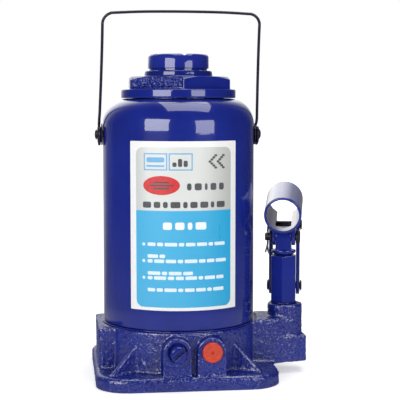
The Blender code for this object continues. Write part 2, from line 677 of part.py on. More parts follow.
def build():
    for old in list(bpy.data.objects):
        bpy.data.objects.remove(old)

    enamel = paint("blue_enamel", (0.011, 0.017, 0.22), 0.22)
    steel = paint("ground_steel", (0.42, 0.42, 0.44), 0.25, 1.0)
    dark = paint("black_oxide", (0.015, 0.015, 0.018), 0.4, 0.6)
    rubber = paint("black_rubber", (0.02, 0.02, 0.02), 0.7)
    copper = paint("copper", (0.72, 0.32, 0.18), 0.35, 1.0)
    red = paint("red_plastic", (0.62, 0.05, 0.012), 0.4)
    white = paint("label_film", (0.8, 0.82, 0.84), 0.35)

    # Base, tank and cap nut
    make_base(enamel)
    make_tank(enamel)
    make_cap_nut(enamel)
    make_label(white)
    ring("tank_gasket", 51.6, 55.6, DRUM_TOP + GAP, TANK_BOTTOM - GAP, rubber, FINE)
    ring("top_gasket", 33.9, 39.6, TANK_TOP + 0.25, FLANGE_BOTTOM - 0.25, rubber, FINE)
    ring("hydraulic_cylinder", BORE_RADIUS, CYLINDER_RADIUS, 31.6, CYLINDER_TOP, steel, FINE)
    ring("cylinder_gasket", BORE_RADIUS + 0.4, CYLINDER_RADIUS, SEAT_FLOOR + GAP, 31.6 - GAP, copper, FINE)
    ring("gland_seal", RAM_RADIUS + 0.12, 22.4, 200.5, 202.9, rubber, FINE)
    ring("wiper_seal", RAM_RADIUS + 0.12, 22.4, COLLAR_TOP - 2.9, COLLAR_TOP - 0.4, rubber, FINE)
    ring("suction_strainer", 2.3, 4.4, OIL_WELL_FLOOR + GAP, OIL_WELL_FLOOR + 2.2, copper, TINY,
         at(41, PUMP_Y, 0))

    # Ram and extension screw
    ram = make_ram(steel)
    lip = [(9.3, 37.6), (25.0, 37.6), (27.2, 34.6), (27.35, 36), (27.2, 43.6), (9.3, 43.6)]
    cup = lathe("piston_cup_seal", lip, rubber, FINE)
    nut = ring("piston_nut", 9.3, 15, 33.2, 37.2, dark, SMALL)
    carry("ram_axis", at(0, 0, PISTON_BOTTOM), ram, cup, nut)
    screw = make_extension_screw(steel)
    stop = ring("screw_stop_ring", 12.6, 15.1, SCREW_BOTTOM + 2.3, SCREW_BOTTOM + 3.9, dark, MEDIUM)
    carry("screw_axis", at(0, 0, SADDLE_BOTTOM), screw, stop)

    # Bail and filler plug
    carry("bail_axis", at(0, 0, PIVOT_Z), make_bail(dark))
    for name, side in (("left", -1), ("right", 1)):
        make_pivot("bail_pivot_" + name, side, dark)
        make_pivot_boss("bail_boss_" + name, side, dark)
    back = at(0, 0, PIVOT_Z - 6) @ Matrix.Rotation(-TURN / 4, 4, "X")
    plug = [(0, 48), (4.6, 48), (5.2, 50), (5.2, TANK_RADIUS + 0.3), (8, TANK_RADIUS + 0.3),
            (8, TANK_RADIUS + 1.8), (6.6, TANK_RADIUS + 3.2), (0, TANK_RADIUS + 3.6)]
    carry("filler_axis", back, lathe("filler_plug", plug, rubber, SMALL, back))

    # Release valve
    front = facing_front(RELEASE_X, 0, VALVE_Z)
    release = [(0, 41.1), (2.2, 41.1), (4.1, 43), (4.1, 48.9), (3.4, 48.9), (3.4, 62.8), (4.2, 63.6),
               (5.6, 64.4), (5.6, 70.4), (4.8, 71.2), (0, 71.2)]
    valve = lathe("release_valve_screw", release, enamel, SMALL, front)
    notch = [(-1.5, 66.8), (1.5, 66.8), (1.5, 75), (-1.5, 75)]
    turned = front @ Matrix.Rotation(math.radians(40), 4, "Z") @ SIDE
    cut(valve, prism("tool", notch, -8, 8, enamel, turned))
    ring("release_valve_packing", 3.7, 5.9, 52.4, 60.5, rubber, SMALL, front)
    seat_ball = ball("release_valve_ball", (RELEASE_X, -38.5, VALVE_Z), 2.4, steel)
    carry("release_axis", front, valve, seat_ball)

    # Safety valve
    front = facing_front(SAFETY_X, 0, VALVE_Z)
    ball("safety_valve_ball", (SAFETY_X, -37.8, VALVE_Z), 2.0, steel)
    coil("safety_valve_spring", 2.5, 0.55, 40.7, 46.6, 3.5, steel, front)
    screw_set = rod("safety_valve_screw", 5.1, 47.6, 54.0, dark, SMALL, front)
    slot = [(-0.8, 52.2), (0.8, 52.2), (0.8, 60), (-0.8, 60)]
    cut(screw_set, prism("tool", slot, -8, 8, dark, front @ SIDE))
    cap = [(0, 55.2), (4.6, 55.2), (5.1, 56), (5.1, -BOSS_FACE + GAP),
           (6.95, -BOSS_FACE + GAP), (6.95, 65.9),
           (6.3, 66.6), (1.0, 66.6), (0.7, 65.8), (0, 65.7)]
    lathe("safety_valve_cap", cap, red, SMALL, front)

    # Pump
    make_pump_body(enamel)
    ring("pump_washer", WELL_RADIUS + 0.2, 9.6, PUMP_BOSS_TOP + GAP, PUMP_BOSS_TOP + 1.1, copper,
         MEDIUM, PUMP)
    ring("pump_wiper", PLUNGER_RADIUS + 0.12, PLUNGER_RADIUS + 1.2, COLUMN_TOP - 3.7,
         COLUMN_TOP - 0.4, rubber, MEDIUM, PUMP)
    plunger = make_plunger(enamel)
    cup = ring("plunger_seal", 3.7, PLUNGER_RADIUS - 0.05, 35.4, 37.8, rubber, SMALL, PUMP)
    carry("plunger_axis", PUMP @ at(0, 0, PIN_Z), plunger, cup)
    inlet = ball("inlet_ball", (PUMP_X, PUMP_Y, 19.5), 3.15, steel)
    carry("inlet_axis", at(PUMP_X, PUMP_Y, 19.5), inlet)
    outlet = ball("outlet_ball", (20, PUMP_Y, 27.2), 2.5, steel)
    carry("outlet_axis", at(20, PUMP_Y, 27.2), outlet)
    along_x = at(0, PUMP_Y, 12) @ Matrix.Rotation(TURN / 4, 4, "Y")
    rod("passage_plug", 3.1, 82, BLOCK_END_X + 0.4, dark, TINY, along_x, edge=0.5)

    # Socket and links
    links = [make_link("link_plate_left", -LINK_OUTER, -LINK_INNER, enamel),
             make_link("link_plate_right", LINK_INNER, LINK_OUTER, enamel)]
    carry("link_axis", across(LINK_Y, LINK_LOW_Z), *links)
    riveted_pin("link_lower_pin", 2.6, 4.0, 11.6, 1.3, LINK_Y, LINK_LOW_Z, dark)
    socket_pieces = [
        make_socket(enamel),
        headed_pin("plunger_pin", 2.9, 5.0, -13.6, 8.8, 3.2, 0, PIN_Z, dark),
        ring("pin_washer", 3.2, 5.0, -10.2, -8.8, dark, SMALL, across(0, PIN_Z)),
        riveted_pin("socket_link_pin", 2.6, 4.0, 11.6, 1.3, LINK_Y, LINK_HIGH_Z, dark),
        make_cotter(steel),
    ]
    cut(socket_pieces[1], rod("tool", 1.1, -9, 9, dark, TINY, PUMP @ at(-11.6, 0, PIN_Z)))
    carry("socket_axis", across(LINK_Y, LINK_HIGH_Z), *socket_pieces)


build()
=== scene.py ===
import json
from math import atan2, copysign, cos, degrees, pi, radians, sin, sqrt, tan

import bmesh
import bpy
import numpy as np
from mathutils import Matrix, Vector, noise


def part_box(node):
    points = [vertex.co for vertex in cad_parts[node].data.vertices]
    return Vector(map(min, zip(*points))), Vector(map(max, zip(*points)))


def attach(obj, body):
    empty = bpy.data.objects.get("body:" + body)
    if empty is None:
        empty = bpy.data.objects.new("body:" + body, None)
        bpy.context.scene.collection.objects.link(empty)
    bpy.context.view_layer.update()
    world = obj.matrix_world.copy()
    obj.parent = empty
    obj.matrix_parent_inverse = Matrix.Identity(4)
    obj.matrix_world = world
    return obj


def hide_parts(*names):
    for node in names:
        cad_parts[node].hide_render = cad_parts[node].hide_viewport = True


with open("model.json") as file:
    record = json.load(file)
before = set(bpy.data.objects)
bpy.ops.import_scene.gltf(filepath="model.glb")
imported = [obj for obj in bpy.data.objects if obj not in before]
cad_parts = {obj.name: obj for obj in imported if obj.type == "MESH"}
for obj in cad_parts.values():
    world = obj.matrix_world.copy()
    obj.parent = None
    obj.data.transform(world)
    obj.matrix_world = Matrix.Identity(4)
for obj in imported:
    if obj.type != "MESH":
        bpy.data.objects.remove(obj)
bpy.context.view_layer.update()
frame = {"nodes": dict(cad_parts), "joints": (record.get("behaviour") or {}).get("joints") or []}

# Looks for a 16 tonne bottle jack: glossy blue enamel over turned and cast steel. Lengths are in
# millimetres times MM. +X points to the hand pump and -Y to the front.

MM = 0.001
TURN = 2 * pi
NODES = frame["nodes"]
JOINTS = {joint["name"]: joint for joint in frame["joints"]}

ROUND = 160  # segments round the big turned pieces
SMALL_ROUND = 64
EDGE = 0.45  # radius of an ordinary broken edge


def box_mm(node):
    low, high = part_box(node)
    return low / MM, high / MM


# ---- sizes read from the frame ----

TANK_LOW, TANK_HIGH = box_mm("reservoir_tank")
TANK_RADIUS = TANK_HIGH.x
NUT_LOW, NUT_HIGH = box_mm("cap_nut")
FLANGE_TOP = NUT_LOW.z + 7.5
HEX_TOP = FLANGE_TOP + 9.0
SCREW_LOW, SCREW_HIGH = box_mm("extension_screw")
RAM_LOW, RAM_HIGH = box_mm("ram")
LABEL_LOW, LABEL_HIGH = box_mm("label_plate")
PIVOT_Z = JOINTS["bail_swing"]["pos_m"][2] / MM
VALVE_Z = JOINTS["release_turn"]["pos_m"][2] / MM
RELEASE_X = JOINTS["release_turn"]["pos_m"][0] / MM
SAFETY_X = sum((corner.x for corner in box_mm("safety_valve_cap"))) / 2
LINK_LOW = Vector(JOINTS["link_rock"]["pos_m"]) / MM
LINK_HIGH = Vector(JOINTS["handle_pump"]["pos_m"]) / MM
ACROSS = -Vector(JOINTS["handle_pump"]["axis"])  # from the pump's left side to its right
PUMP_CENTRE = sum(box_mm("inlet_ball"), Vector()) / 2

WORLD = Matrix.Identity(4)
YAW = atan2(ACROSS.y, ACROSS.x)
PUMP = Matrix.Translation((PUMP_CENTRE.x * MM, PUMP_CENTRE.y * MM, 0)) @ Matrix.Rotation(YAW, 4, "Z")
# An outline drawn in a side view, as (back, up), and extruded across
SIDE = Matrix(((0, 0, 1, 0), (1, 0, 0, 0), (0, 1, 0, 0), (0, 0, 0, 1)))
PUMP_SIDE = PUMP @ SIDE
LINK_BACK = (PUMP.inverted() @ (LINK_LOW * MM)).y / MM


def at(x, y, z):
    return Matrix.Translation((x * MM, y * MM, z * MM))


def facing_front(x, y, z):
    """A frame whose Z axis points to the front, -Y."""
    return at(x, y, z) @ Matrix.Rotation(TURN / 4, 4, "X")


def across(back, up):
    """A frame in the pump whose Z axis runs across it."""
    return PUMP @ at(0, back, up) @ Matrix.Rotation(TURN / 4, 4, "Y")


# ---- nodes ----

FIRST_COLOUR, SECOND_COLOUR, MIXED_COLOUR = 6, 7, 2  # sockets of a Mix node that mixes colours


class Nodes:
    """A node tree that grows by short calls."""

    def __init__(self, tree):
        self.tree = tree

    def add(self, kind, **settings):
        node = self.tree.nodes.new("ShaderNode" + kind)
        for key, value in settings.items():
            setattr(node, key, value)
        return node

    def link(self, source, target):
        """Feeds a socket from another socket, or gives it a plain value."""
        if hasattr(source, "is_output"):
            self.tree.links.new(source, target)
        else:
            target.default_value = source

    def feed(self, node, values):
        for key, value in values.items():
            self.link(value, node.inputs[key])

    def math(self, operation, first, second):
        node = self.add("Math", operation=operation)
        self.feed(node, {0: first, 1: second})
        return node.outputs[0]

    def times(self, first, second):
        return self.math("MULTIPLY", first, second)

    def between(self, value, low, high, to_low=0.0, to_high=1.0):
        """Maps one range of the value to another, and holds its ends."""
        node = self.add("MapRange")
        self.feed(node, {"Value": value, "From Min": low, "From Max": high, "To Min": to_low,
                         "To Max": to_high})
        return node.outputs[0]

    def mix(self, factor, first, second, **settings):
        """Mixes two colours, each a socket or (r, g, b)."""
        node = self.add("Mix", data_type="RGBA", **settings)
        self.link(factor, node.inputs["Factor"])
        for index, value in ((FIRST_COLOUR, first), (SECOND_COLOUR, second)):
            self.link(value if hasattr(value, "is_output") else (*value, 1), node.inputs[index])
        return node.outputs[MIXED_COLOUR]

    def parts(self, vector):
        """The sockets X, Y and Z of a vector."""
        node = self.add("SeparateXYZ")
        self.link(vector, node.inputs[0])
        return node.outputs


class Surface(Nodes):
    """One Principled material."""

    def __init__(self, name, roughness=0.5, metallic=0.0, coat=0.0, coat_roughness=0.03, coat_ior=1.7,
                 specular=0.5):
        self.material = bpy.data.materials.new(name)
        self.material.use_nodes = True
        super().__init__(self.material.node_tree)
        self.shader = self.tree.nodes["Principled BSDF"]
        settings = {"Roughness": roughness, "Metallic": metallic, "Specular IOR Level": specular,
                    "Coat Weight": coat, "Coat Roughness": coat_roughness, "Coat IOR": coat_ior}
        for socket, value in settings.items():
            self.shader.inputs[socket].default_value = value
        self.place = self.add("TexCoord").outputs["Object"]

    def noise(self, size, detail=3.0, rough=0.5, place=None):
        """Noise whose features are about size millimetres across."""
        node = self.add("TexNoise")
        self.feed(node, {"Vector": place or self.place, "Scale": 1 / (size * MM), "Detail": detail,
                         "Roughness": rough})
        return node.outputs["Fac"]

    def patches(self, size, detail=5, low=0.0, high=1.0):
        """A value that wanders from low to high, in patches about size millimetres across."""
        return self.between(self.noise(size, detail=detail), 0.3, 0.7, low, high)

    def cells(self, size, end):
        """0 at points about size millimetres apart, and 1 at the end's share of that size from them."""
        node = self.add("TexVoronoi")
        self.feed(node, {"Vector": self.place, "Scale": 1 / (size * MM)})
        return self.between(node.outputs["Distance"], 0.0, end)

    def stretched(self, x, y, z):
        """The object's coordinates, scaled along each axis."""
        node = self.add("Mapping")
        self.feed(node, {"Vector": self.place, "Scale": (x, y, z)})
        return node.outputs[0]

    def geometry(self, name):
        return self.add("NewGeometry").outputs[name]

    def edges(self, low=0.51, high=0.58):
        """1 on sharp outer edges and 0 elsewhere."""
        return self.between(self.geometry("Pointiness"), low, high)

    def hollows(self, low=0.42, high=0.49):
        """1 in tight inner corners and 0 elsewhere."""
        return self.between(self.geometry("Pointiness"), low, high, 1.0, 0.0)

    def less_glare(self, least, top_only=False):
        """Fades the clear coat towards a glancing view, to the least weight given."""
        fade = self.between(self.add("LayerWeight").outputs["Facing"], 0.4, 0.78)
        if top_only:
            fade = self.times(fade, self.between(self.parts(self.geometry("Normal"))["Z"], 0.8, 0.95))
        self.link(self.between(fade, 0.0, 1.0, 1.0, least), self.shader.inputs["Coat Weight"])

    def colour(self, value):
        self.link(value, self.shader.inputs["Base Color"])

    def roughness(self, value):
        self.link(value, self.shader.inputs["Roughness"])

    def bumps(self, height, depth, coat_share=1.0):
        """Bumps the paint and, by a share of that, its clear coat."""
        self.bump(height, depth)
        self.bump(height, depth * coat_share, "Coat Normal")

    def bump(self, height, depth, socket="Normal"):
        """Raises the surface by height times depth millimetres, on top of any earlier bump."""
        node = self.add("Bump")
        self.feed(node, {"Distance": depth * MM, "Strength": 1.0, "Height": height})
        target = self.shader.inputs[socket]
        if target.links:
            self.link(target.links[0].from_socket, node.inputs["Normal"])
        self.link(node.outputs[0], target)


# ---- materials ----

BLUE = (0.0063, 0.0145, 0.170)
BLUE_LIGHT = (0.0088, 0.0195, 0.212)
BLUE_THIN = (0.024, 0.034, 0.30)
BLUE_DUST = (0.030, 0.038, 0.11)


def sprayed(paint, size, thin, worn, dust):
    """Blue in uneven patches of the size, thin on its worn edges, with dust in its hollows."""
    colour = paint.mix(paint.between(paint.noise(size, detail=4), 0.35, 0.65), BLUE, BLUE_LIGHT)
    colour = paint.mix(paint.times(worn, thin), colour, BLUE_THIN)
    paint.colour(colour if dust is None else paint.mix(dust, colour, BLUE_DUST))


def enamel(name, peel=0.006, runs=True):
    """Deep blue gloss enamel with faint orange peel and small changes of thickness."""
    paint = Surface(name, coat=1.0, coat_roughness=0.02, specular=0.15 if runs else 0.05)
    if not runs:
        paint.less_glare(0.0, top_only=True)
    sprayed(paint, 38, 0.45, paint.edges(), paint.times(paint.hollows(), 0.30))
    paint.roughness(paint.patches(9, 5, 0.16, 0.26))
    paint.bumps(paint.noise(3.4, detail=2), peel)
    if runs:
        paint.bumps(paint.noise(16, detail=1), peel * 2.5)
    return paint.material


def cast_enamel():
    """The same enamel over a sand-cast surface: lumps, pits and a fine grain."""
    paint = Surface("cast_enamel", coat_roughness=0.03, coat_ior=2.1, specular=0.1)
    paint.less_glare(0.06)
    sprayed(paint, 30, 0.4, paint.edges(0.52, 0.62), paint.times(paint.hollows(0.38, 0.48), 0.4))
    paint.roughness(paint.patches(5, 5, 0.18, 0.34))
    paint.bumps(paint.noise(1.3, detail=2, rough=0.55), 0.38, 0.8)
    paint.bumps(paint.cells(1.2, 0.4), 0.16, 0.8)
    return paint.material


def stamped_enamel():
    """Enamel over the nut's flats: one face is rough from hot stamping, and the others are smooth."""
    paint = Surface("stamped_enamel", coat_roughness=0.03, specular=0.05)
    paint.less_glare(0.0, top_only=True)
    sprayed(paint, 30, 0.5, paint.edges(), None)
    paint.roughness(paint.patches(6, 5, 0.15, 0.28))
    x, y, z = paint.parts(paint.place)
    above = paint.between(z, (FLANGE_TOP + 1.2) * MM, (FLANGE_TOP + 1.8) * MM)
    below = paint.between(z, (HEX_TOP - 0.4) * MM, (HEX_TOP - 1.0) * MM)
    left = paint.between(x, -0.8 * MM, -1.8 * MM)
    front = paint.between(y, 2 * MM, -4 * MM)
    rough = paint.times(paint.times(left, front), paint.times(above, below))
    grain = paint.math("ADD", paint.noise(1.6, detail=2), paint.cells(1.9, 0.6))
    paint.bumps(paint.noise(5, detail=3), 0.05)
    paint.bumps(paint.times(grain, rough), 1.1)
    return paint.material


def steel(name, colour, roughness, grain=(1, 1, 40), depth=0.004):
    """Bare machined metal with fine tool marks along one direction."""
    metal = Surface(name, metallic=1.0)
    lines = metal.noise(7, detail=6, rough=0.7, place=metal.stretched(*grain))
    darker = tuple(channel * 0.72 for channel in colour)
    metal.colour(metal.mix(metal.between(lines, 0.3, 0.7), darker, colour))
    metal.roughness(metal.between(lines, 0.3, 0.7, roughness * 0.75, roughness * 1.35))
    metal.bump(lines, depth)
    return metal.material


def black_oxide():
    """Satin black finish, worn to grey steel on its edges."""
    metal = Surface("black_oxide", coat=0.12, coat_roughness=0.25)
    wear = metal.times(metal.edges(0.53, 0.62), metal.between(metal.noise(2.2, detail=5), 0.42, 0.6))
    colour = metal.mix(metal.patches(5, 4), (0.0045, 0.0035, 0.016), (0.010, 0.009, 0.030))
    metal.colour(metal.mix(metal.times(wear, 0.6), colour, (0.16, 0.16, 0.18)))
    metal.roughness(metal.patches(3, 5, 0.26, 0.42))
    metal.bump(metal.noise(0.9), 0.01)
    return metal.material


def rubber():
    """Black nitrile rubber with a moulded grain and a little bloom."""
    soft = Surface("rubber")
    bloom = soft.between(soft.noise(4, detail=5), 0.4, 0.7)
    soft.colour(soft.mix(bloom, (0.011, 0.011, 0.012), (0.028, 0.028, 0.030)))
    soft.roughness(soft.between(bloom, 0, 1, 0.5, 0.75))
    soft.bump(soft.noise(0.5), 0.02)
    return soft.material


def red_plastic():
    """Orange-red moulded plastic with faint flow marks and a scuffed face."""
    plastic = Surface("red_plastic", coat=0.15, coat_roughness=0.2)
    plastic.colour(plastic.mix(plastic.patches(3.5, 4), (0.47, 0.030, 0.008), (0.58, 0.050, 0.012)))
    plastic.roughness(plastic.patches(1.2, 4, 0.34, 0.5))
    plastic.bump(plastic.noise(0.7), 0.015)
    return plastic.material


def printed(name, colour, other):
    """Ink on film: a screen-printed colour with a very fine mottle."""
    ink = Surface(name, coat=0.5, coat_roughness=0.12)
    ink.colour(ink.mix(ink.patches(1.4, 4), colour, other))
    ink.roughness(ink.patches(4, 3, 0.30, 0.42))
    ink.bump(ink.noise(0.5, detail=2), 0.004)
    return ink.material


def label_panel():
    """The printed panel: brushed silver above and cyan below, both darker to the right with painted
    shade.
    """
    ink = Surface("label_panel", coat=0.55, coat_roughness=0.10)
    x, _y, z = ink.parts(ink.place)
    grain = ink.noise(6, detail=5, rough=0.7, place=ink.stretched(1, 1, 0.12))
    streak = ink.between(grain, 0.3, 0.7, -0.06, 0.06)
    # Painted shade: the silver darkens towards the right, with the brushed streaks on top
    painted_shade = ink.math("ADD", ink.between(x, 6 * MM, 32 * MM), streak)
    silver = ink.mix(painted_shade, (0.60, 0.62, 0.60), (0.42, 0.43, 0.41))
    # Painted shade: the silver also darkens towards its left edge
    silver = ink.mix(ink.between(x, -26 * MM, -35 * MM), silver, (0.47, 0.49, 0.48))
    # Painted shade: the cyan darkens towards the right, with the brushed streaks on top
    depth = ink.math("ADD", ink.between(x, -4 * MM, 30 * MM), streak)
    cyan = ink.mix(depth, (0.052, 0.380, 0.640), (0.006, 0.330, 0.600))
    ink.colour(ink.mix(ink.between(z, (CYAN_TOP - 0.3) * MM, (CYAN_TOP + 0.3) * MM), cyan, silver))
    ink.roughness(ink.between(grain, 0.3, 0.7, 0.26, 0.38))
    ink.bump(ink.noise(9, detail=2), 0.02)
    return ink.material


# ---- shapes ----

def arc(centre, radius, start, end, steps):
    """Points on a circle from one angle to another, in degrees."""
    points = []
    for step in range(steps + 1):
        angle = radians(start + (end - start) * step / steps)
        points.append((centre[0] + radius * cos(angle), centre[1] + radius * sin(angle)))
    return points


def softened(outline, radius=EDGE, steps=3):
    """A closed outline with each sharp corner rounded off. Points on the axis stay as they are."""
    result = []
    count = len(outline)
    for index in range(count):
        here = Vector(outline[index])
        before = Vector(outline[index - 1])
        after = Vector(outline[(index + 1) % count])
        back, ahead = before - here, after - here
        reach = min(radius, back.length * 0.45, ahead.length * 0.45)
        turn = pi - back.angle(ahead, pi)
        if here.x == 0 or turn < radians(12) or reach < 0.01:
            result.append(tuple(here))
            continue
        start, end = here + back.normalized() * reach, here + ahead.normalized() * reach
        for step in range(steps + 1):
            t = step / steps
            result.append(tuple(start * (1 - t) ** 2 + here * 2 * t * (1 - t) + end * t ** 2))
    return result


def placed(name, data):
    """A new object in the scene."""
    result = bpy.data.objects.new(name, data)
    bpy.context.scene.collection.objects.link(result)
    return result


def shade(mesh, angle):
    """Smooth shading up to the angle."""
    mesh.shade_smooth()
    mesh.set_sharp_from_angle(angle=radians(angle))


def made(name, shape, material, angle=35):
    """An object from a bmesh, with its faces turned outwards."""
    bmesh.ops.recalc_face_normals(shape, faces=shape.faces)
    mesh = bpy.data.meshes.new(name)
    shape.to_mesh(mesh)
    shape.free()
    if material:
        mesh.materials.append(material)
    shade(mesh, angle)
    return placed(name, mesh)


def lathe(name, outline, material, segments=SMALL_ROUND, frame_=WORLD, edge=EDGE, rule=None, start=0.0,
          sharp=35):
    """Turns a closed outline of (radius, height) round the frame's Z axis, its corners softened.

    The rule, if there is one, gives each point's radius and height from its angle, radius and height.
    The first point of each ring stands at the share of a segment that start gives."""
    shape = bmesh.new()
    rings = []
    for radius, height in softened(outline, edge) if edge else outline:
        if radius == 0:
            rings.append([shape.verts.new(frame_ @ Vector((0, 0, height * MM)))] * segments)
            continue
        ring = []
        for step in range(segments):
            angle = TURN * (step + start) / segments
            r, z = rule(angle, radius, height) if rule else (radius, height)
            point = Vector((r * cos(angle), r * sin(angle), z))
            ring.append(shape.verts.new(frame_ @ (point * MM)))
        rings.append(ring)
    for lower, upper in zip(rings, rings[1:] + rings[:1]):
        for step in range(segments):
            after = (step + 1) % segments
            corners = list(dict.fromkeys((lower[step], lower[after], upper[after], upper[step])))
            if len(corners) > 2:
                shape.faces.new(corners)
    return made(name, shape, material, sharp)


def rod(radius, low, high, material, frame_=WORLD, sides=96):
    """A plain cylinder on the frame's Z axis, to add to a piece or take from it."""
    outline = [(0, low), (radius, low), (radius, high), (0, high)]
    return lathe("rod", outline, material, sides, frame_, edge=0)


def prism(name, outline, low, high, material, frame_=WORLD, edge=0.0):
    """Extrudes an outline of (x, y) along the frame's Z axis, with rounded rims if edge is given."""
    shape = bmesh.new()
    rings = [[shape.verts.new(frame_ @ (Vector((x, y, height)) * MM)) for x, y in outline]
             for height in (low, high)]
    shape.faces.new(rings[0][::-1])
    shape.faces.new(rings[1])
    for step in range(len(outline)):
        after = (step + 1) % len(outline)
        shape.faces.new((rings[0][step], rings[0][after], rings[1][after], rings[1][step]))
    result = made(name, shape, material)
    if edge:
        bevel(result, edge)
    return result


def apply_modifiers(target):
    bpy.context.view_layer.update()
    graph = bpy.context.evaluated_depsgraph_get()
    mesh = bpy.data.meshes.new_from_object(target.evaluated_get(graph))
    old = target.data
    target.modifiers.clear()
    target.data = mesh
    bpy.data.meshes.remove(old)


def bevel(target, width):
    """Rounds every edge sharper than 30 degrees."""
    modifier = target.modifiers.new("Bevel", "BEVEL")
    modifier.width = width * MM
    modifier.segments = 3
    modifier.limit_method = "ANGLE"
    modifier.angle_limit = radians(30)
    apply_modifiers(target)
    shade(target.data, 40)


def combine(target, tool, operation):
    modifier = target.modifiers.new("Boolean", "BOOLEAN")
    modifier.operation = operation
    modifier.object = tool
    apply_modifiers(target)
    bpy.data.objects.remove(tool)


def cut(target, tool):
    combine(target, tool, "DIFFERENCE")


def remeshed(target, voxel, relax):
    """Rebuilds a mesh from voxels and relaxes it, which rounds its edges and fillets its corners."""
    modifier = target.modifiers.new("Remesh", "REMESH")
    modifier.mode = "VOXEL"
    modifier.voxel_size = voxel * MM
    modifier.adaptivity = 0
    smooth = target.modifiers.new("Smooth", "SMOOTH")
    smooth.factor = 0.5
    smooth.iterations = relax
    apply_modifiers(target)
    shade(target.data, 80)


def move_points(target, rule):
    """Moves each vertex, in millimetres, to where the rule puts it."""
    mesh = target.data
    points = [(vertex.co.copy(), normal.vector.copy())
              for vertex, normal in zip(mesh.vertices, mesh.vertex_normals)]
    moved = [rule(point / MM, normal) * MM for point, normal in points]
    mesh.vertices.foreach_set("co", np.array(moved).ravel())
    mesh.update()


def tube(name, path, radius, material, sides=20, frame_=WORLD):
    """A round wire along a path of points in millimetres, with domed ends."""
    points = [Vector(point) for point in path]
    shape = bmesh.new()
    side = (points[1] - points[0]).orthogonal().normalized()
    rings = []
    dome = [(0.6, -0.7), (0.9, -0.3)]  # share of the radius, and distance along in radii
    stations = [(points[0], share, along) for share, along in dome]
    stations += [(point, 1.0, 0.0) for point in points]
    stations += [(points[-1], share, -along) for share, along in reversed(dome)]
    for index, (point, share, slide) in enumerate(stations):
        middle = min(max(index - len(dome), 0), len(points) - 1)
        before, after = points[max(middle - 1, 0)], points[min(middle + 1, len(points) - 1)]
        along = (after - before).normalized()
        side = (side - along * side.dot(along)).normalized()
        up = along.cross(side)
        ring = []
        for step in range(sides):
            angle = TURN * step / sides
            offset = share * radius * (cos(angle) * side + sin(angle) * up)
            ring.append(shape.verts.new(frame_ @ ((point + along * slide * radius + offset) * MM)))
        rings.append(ring)
    for lower, upper in zip(rings, rings[1:]):
        for step in range(sides):
            after = (step + 1) % sides
            shape.faces.new((lower[step], lower[after], upper[after], upper[step]))
    shape.faces.new(rings[0][::-1])
    shape.faces.new(rings[-1])
    return made(name, shape, material, 50)


def smoothed(points, steps):
    """A Catmull-Rom curve through the points."""
    points = [Vector(point) for point in points]
    padded = [2 * points[0] - points[1]] + points + [2 * points[-1] - points[-2]]
    result = []
    for p0, p1, p2, p3 in zip(padded, padded[1:], padded[2:], padded[3:]):
        for step in range(steps):
            t = step / steps
            result.append(0.5 * (2 * p1 + (p2 - p0) * t + (2 * p0 - 5 * p1 + 4 * p2 - p3) * t ** 2
                                 + (3 * p1 - p0 - 3 * p2 + p3) * t ** 3))
    result.append(points[-1])
    return result


def belt(first, second, radius):
    """The outline of a strap with round ends, from one centre to another."""
    angle = degrees(atan2(second[1] - first[1], second[0] - first[0]))
    return (arc(second, radius, angle - 90, angle + 90, 16)
            + arc(first, radius, angle + 90, angle + 270, 16))


def hexagon(flats, corner_angle):
    return arc((0, 0), flats / 2 / cos(TURN / 12), corner_angle, corner_angle + 300, 5)


def joined(name, pieces):
    """Puts several meshes into one object."""
    shape = bmesh.new()
    materials = []
    for piece in pieces:
        before = len(shape.faces)
        shape.from_mesh(piece.data)
        shape.faces.ensure_lookup_table()
        material = piece.data.materials[0]
        if material not in materials:
            materials.append(material)
        for face in shape.faces[before:]:
            face.material_index = materials.index(material)
    result = made(name, shape, None, 30)
    for material in materials:
        result.data.materials.append(material)
    for piece in pieces:
        bpy.data.objects.remove(piece)
    return result


def settle(piece, body, slot, *nodes):
    """Puts a finished piece on the body it rides on and hides the CAD nodes it replaces. The slot is not
    used.
    """
    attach(piece, body)
    if nodes:
        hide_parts(*nodes)


# ---- base casting ----

DRUM_RADIUS = TANK_RADIUS + 2.2
DRUM_LOW = 11
DRUM_TOP = box_mm("tank_gasket")[0].z - 0.3
FOOT_HALF = (64, 65)
FOOT_TOP = 7.5
FOOT_CORNER = 22.0
FOOT_SHIFT = 2.0
LUMPS = ((8, 0.22), (2.4, 0.22), (1.3, 0.15))  # the size of the lumps, and their height


def cast_skin(point, normal):
    """Turns the drum and the foot's corners round again, then adds the lumps of a sand casting."""
    flat = Vector((point.x, point.y))
    on_drum = DRUM_LOW < point.z < DRUM_TOP - 0.7 and abs(flat.length - DRUM_RADIUS) < 0.5
    if on_drum and abs(normal.z) < 0.4:
        flat *= DRUM_RADIUS / flat.length
        point = Vector((flat.x, flat.y, point.z))
    along = point.x - FOOT_SHIFT
    centre_x, centre_y = FOOT_HALF[0] - FOOT_CORNER, FOOT_HALF[1] - FOOT_CORNER
    corner = Vector((abs(along) - centre_x, abs(point.y) - centre_y))
    on_corner = point.z < FOOT_TOP and min(corner) > 0 and abs(corner.length - FOOT_CORNER) < 0.6
    if on_corner and abs(normal.z) < 0.5:
        corner *= FOOT_CORNER / corner.length
        point = Vector((FOOT_SHIFT + copysign(centre_x + corner.x, along),
                        copysign(centre_y + corner.y, point.y), point.z))
    if point.z < 0.6 or point.z > DRUM_TOP - 0.6 and flat.length < DRUM_RADIUS + 0.5:
        return point
    return point + normal * sum(noise.noise(point / size) * height for size, height in LUMPS)


def make_base(material):
    mesh = NODES["base_casting"].data.copy()
    mesh.materials.clear()
    mesh.materials.append(material)
    base = placed("base_casting_cast", mesh)
    remeshed(base, 0.72, 7)
    move_points(base, cast_skin)
    settle(base, "jack_body", "cast_blue", "base_casting")


# ---- tank and cap nut ----

SHOULDER_RADIUS = 18.4
SHOULDER_Z = TANK_HIGH.z - SHOULDER_RADIUS
TANK_WALL = 2.5
TANK_MOUTH = 33.6


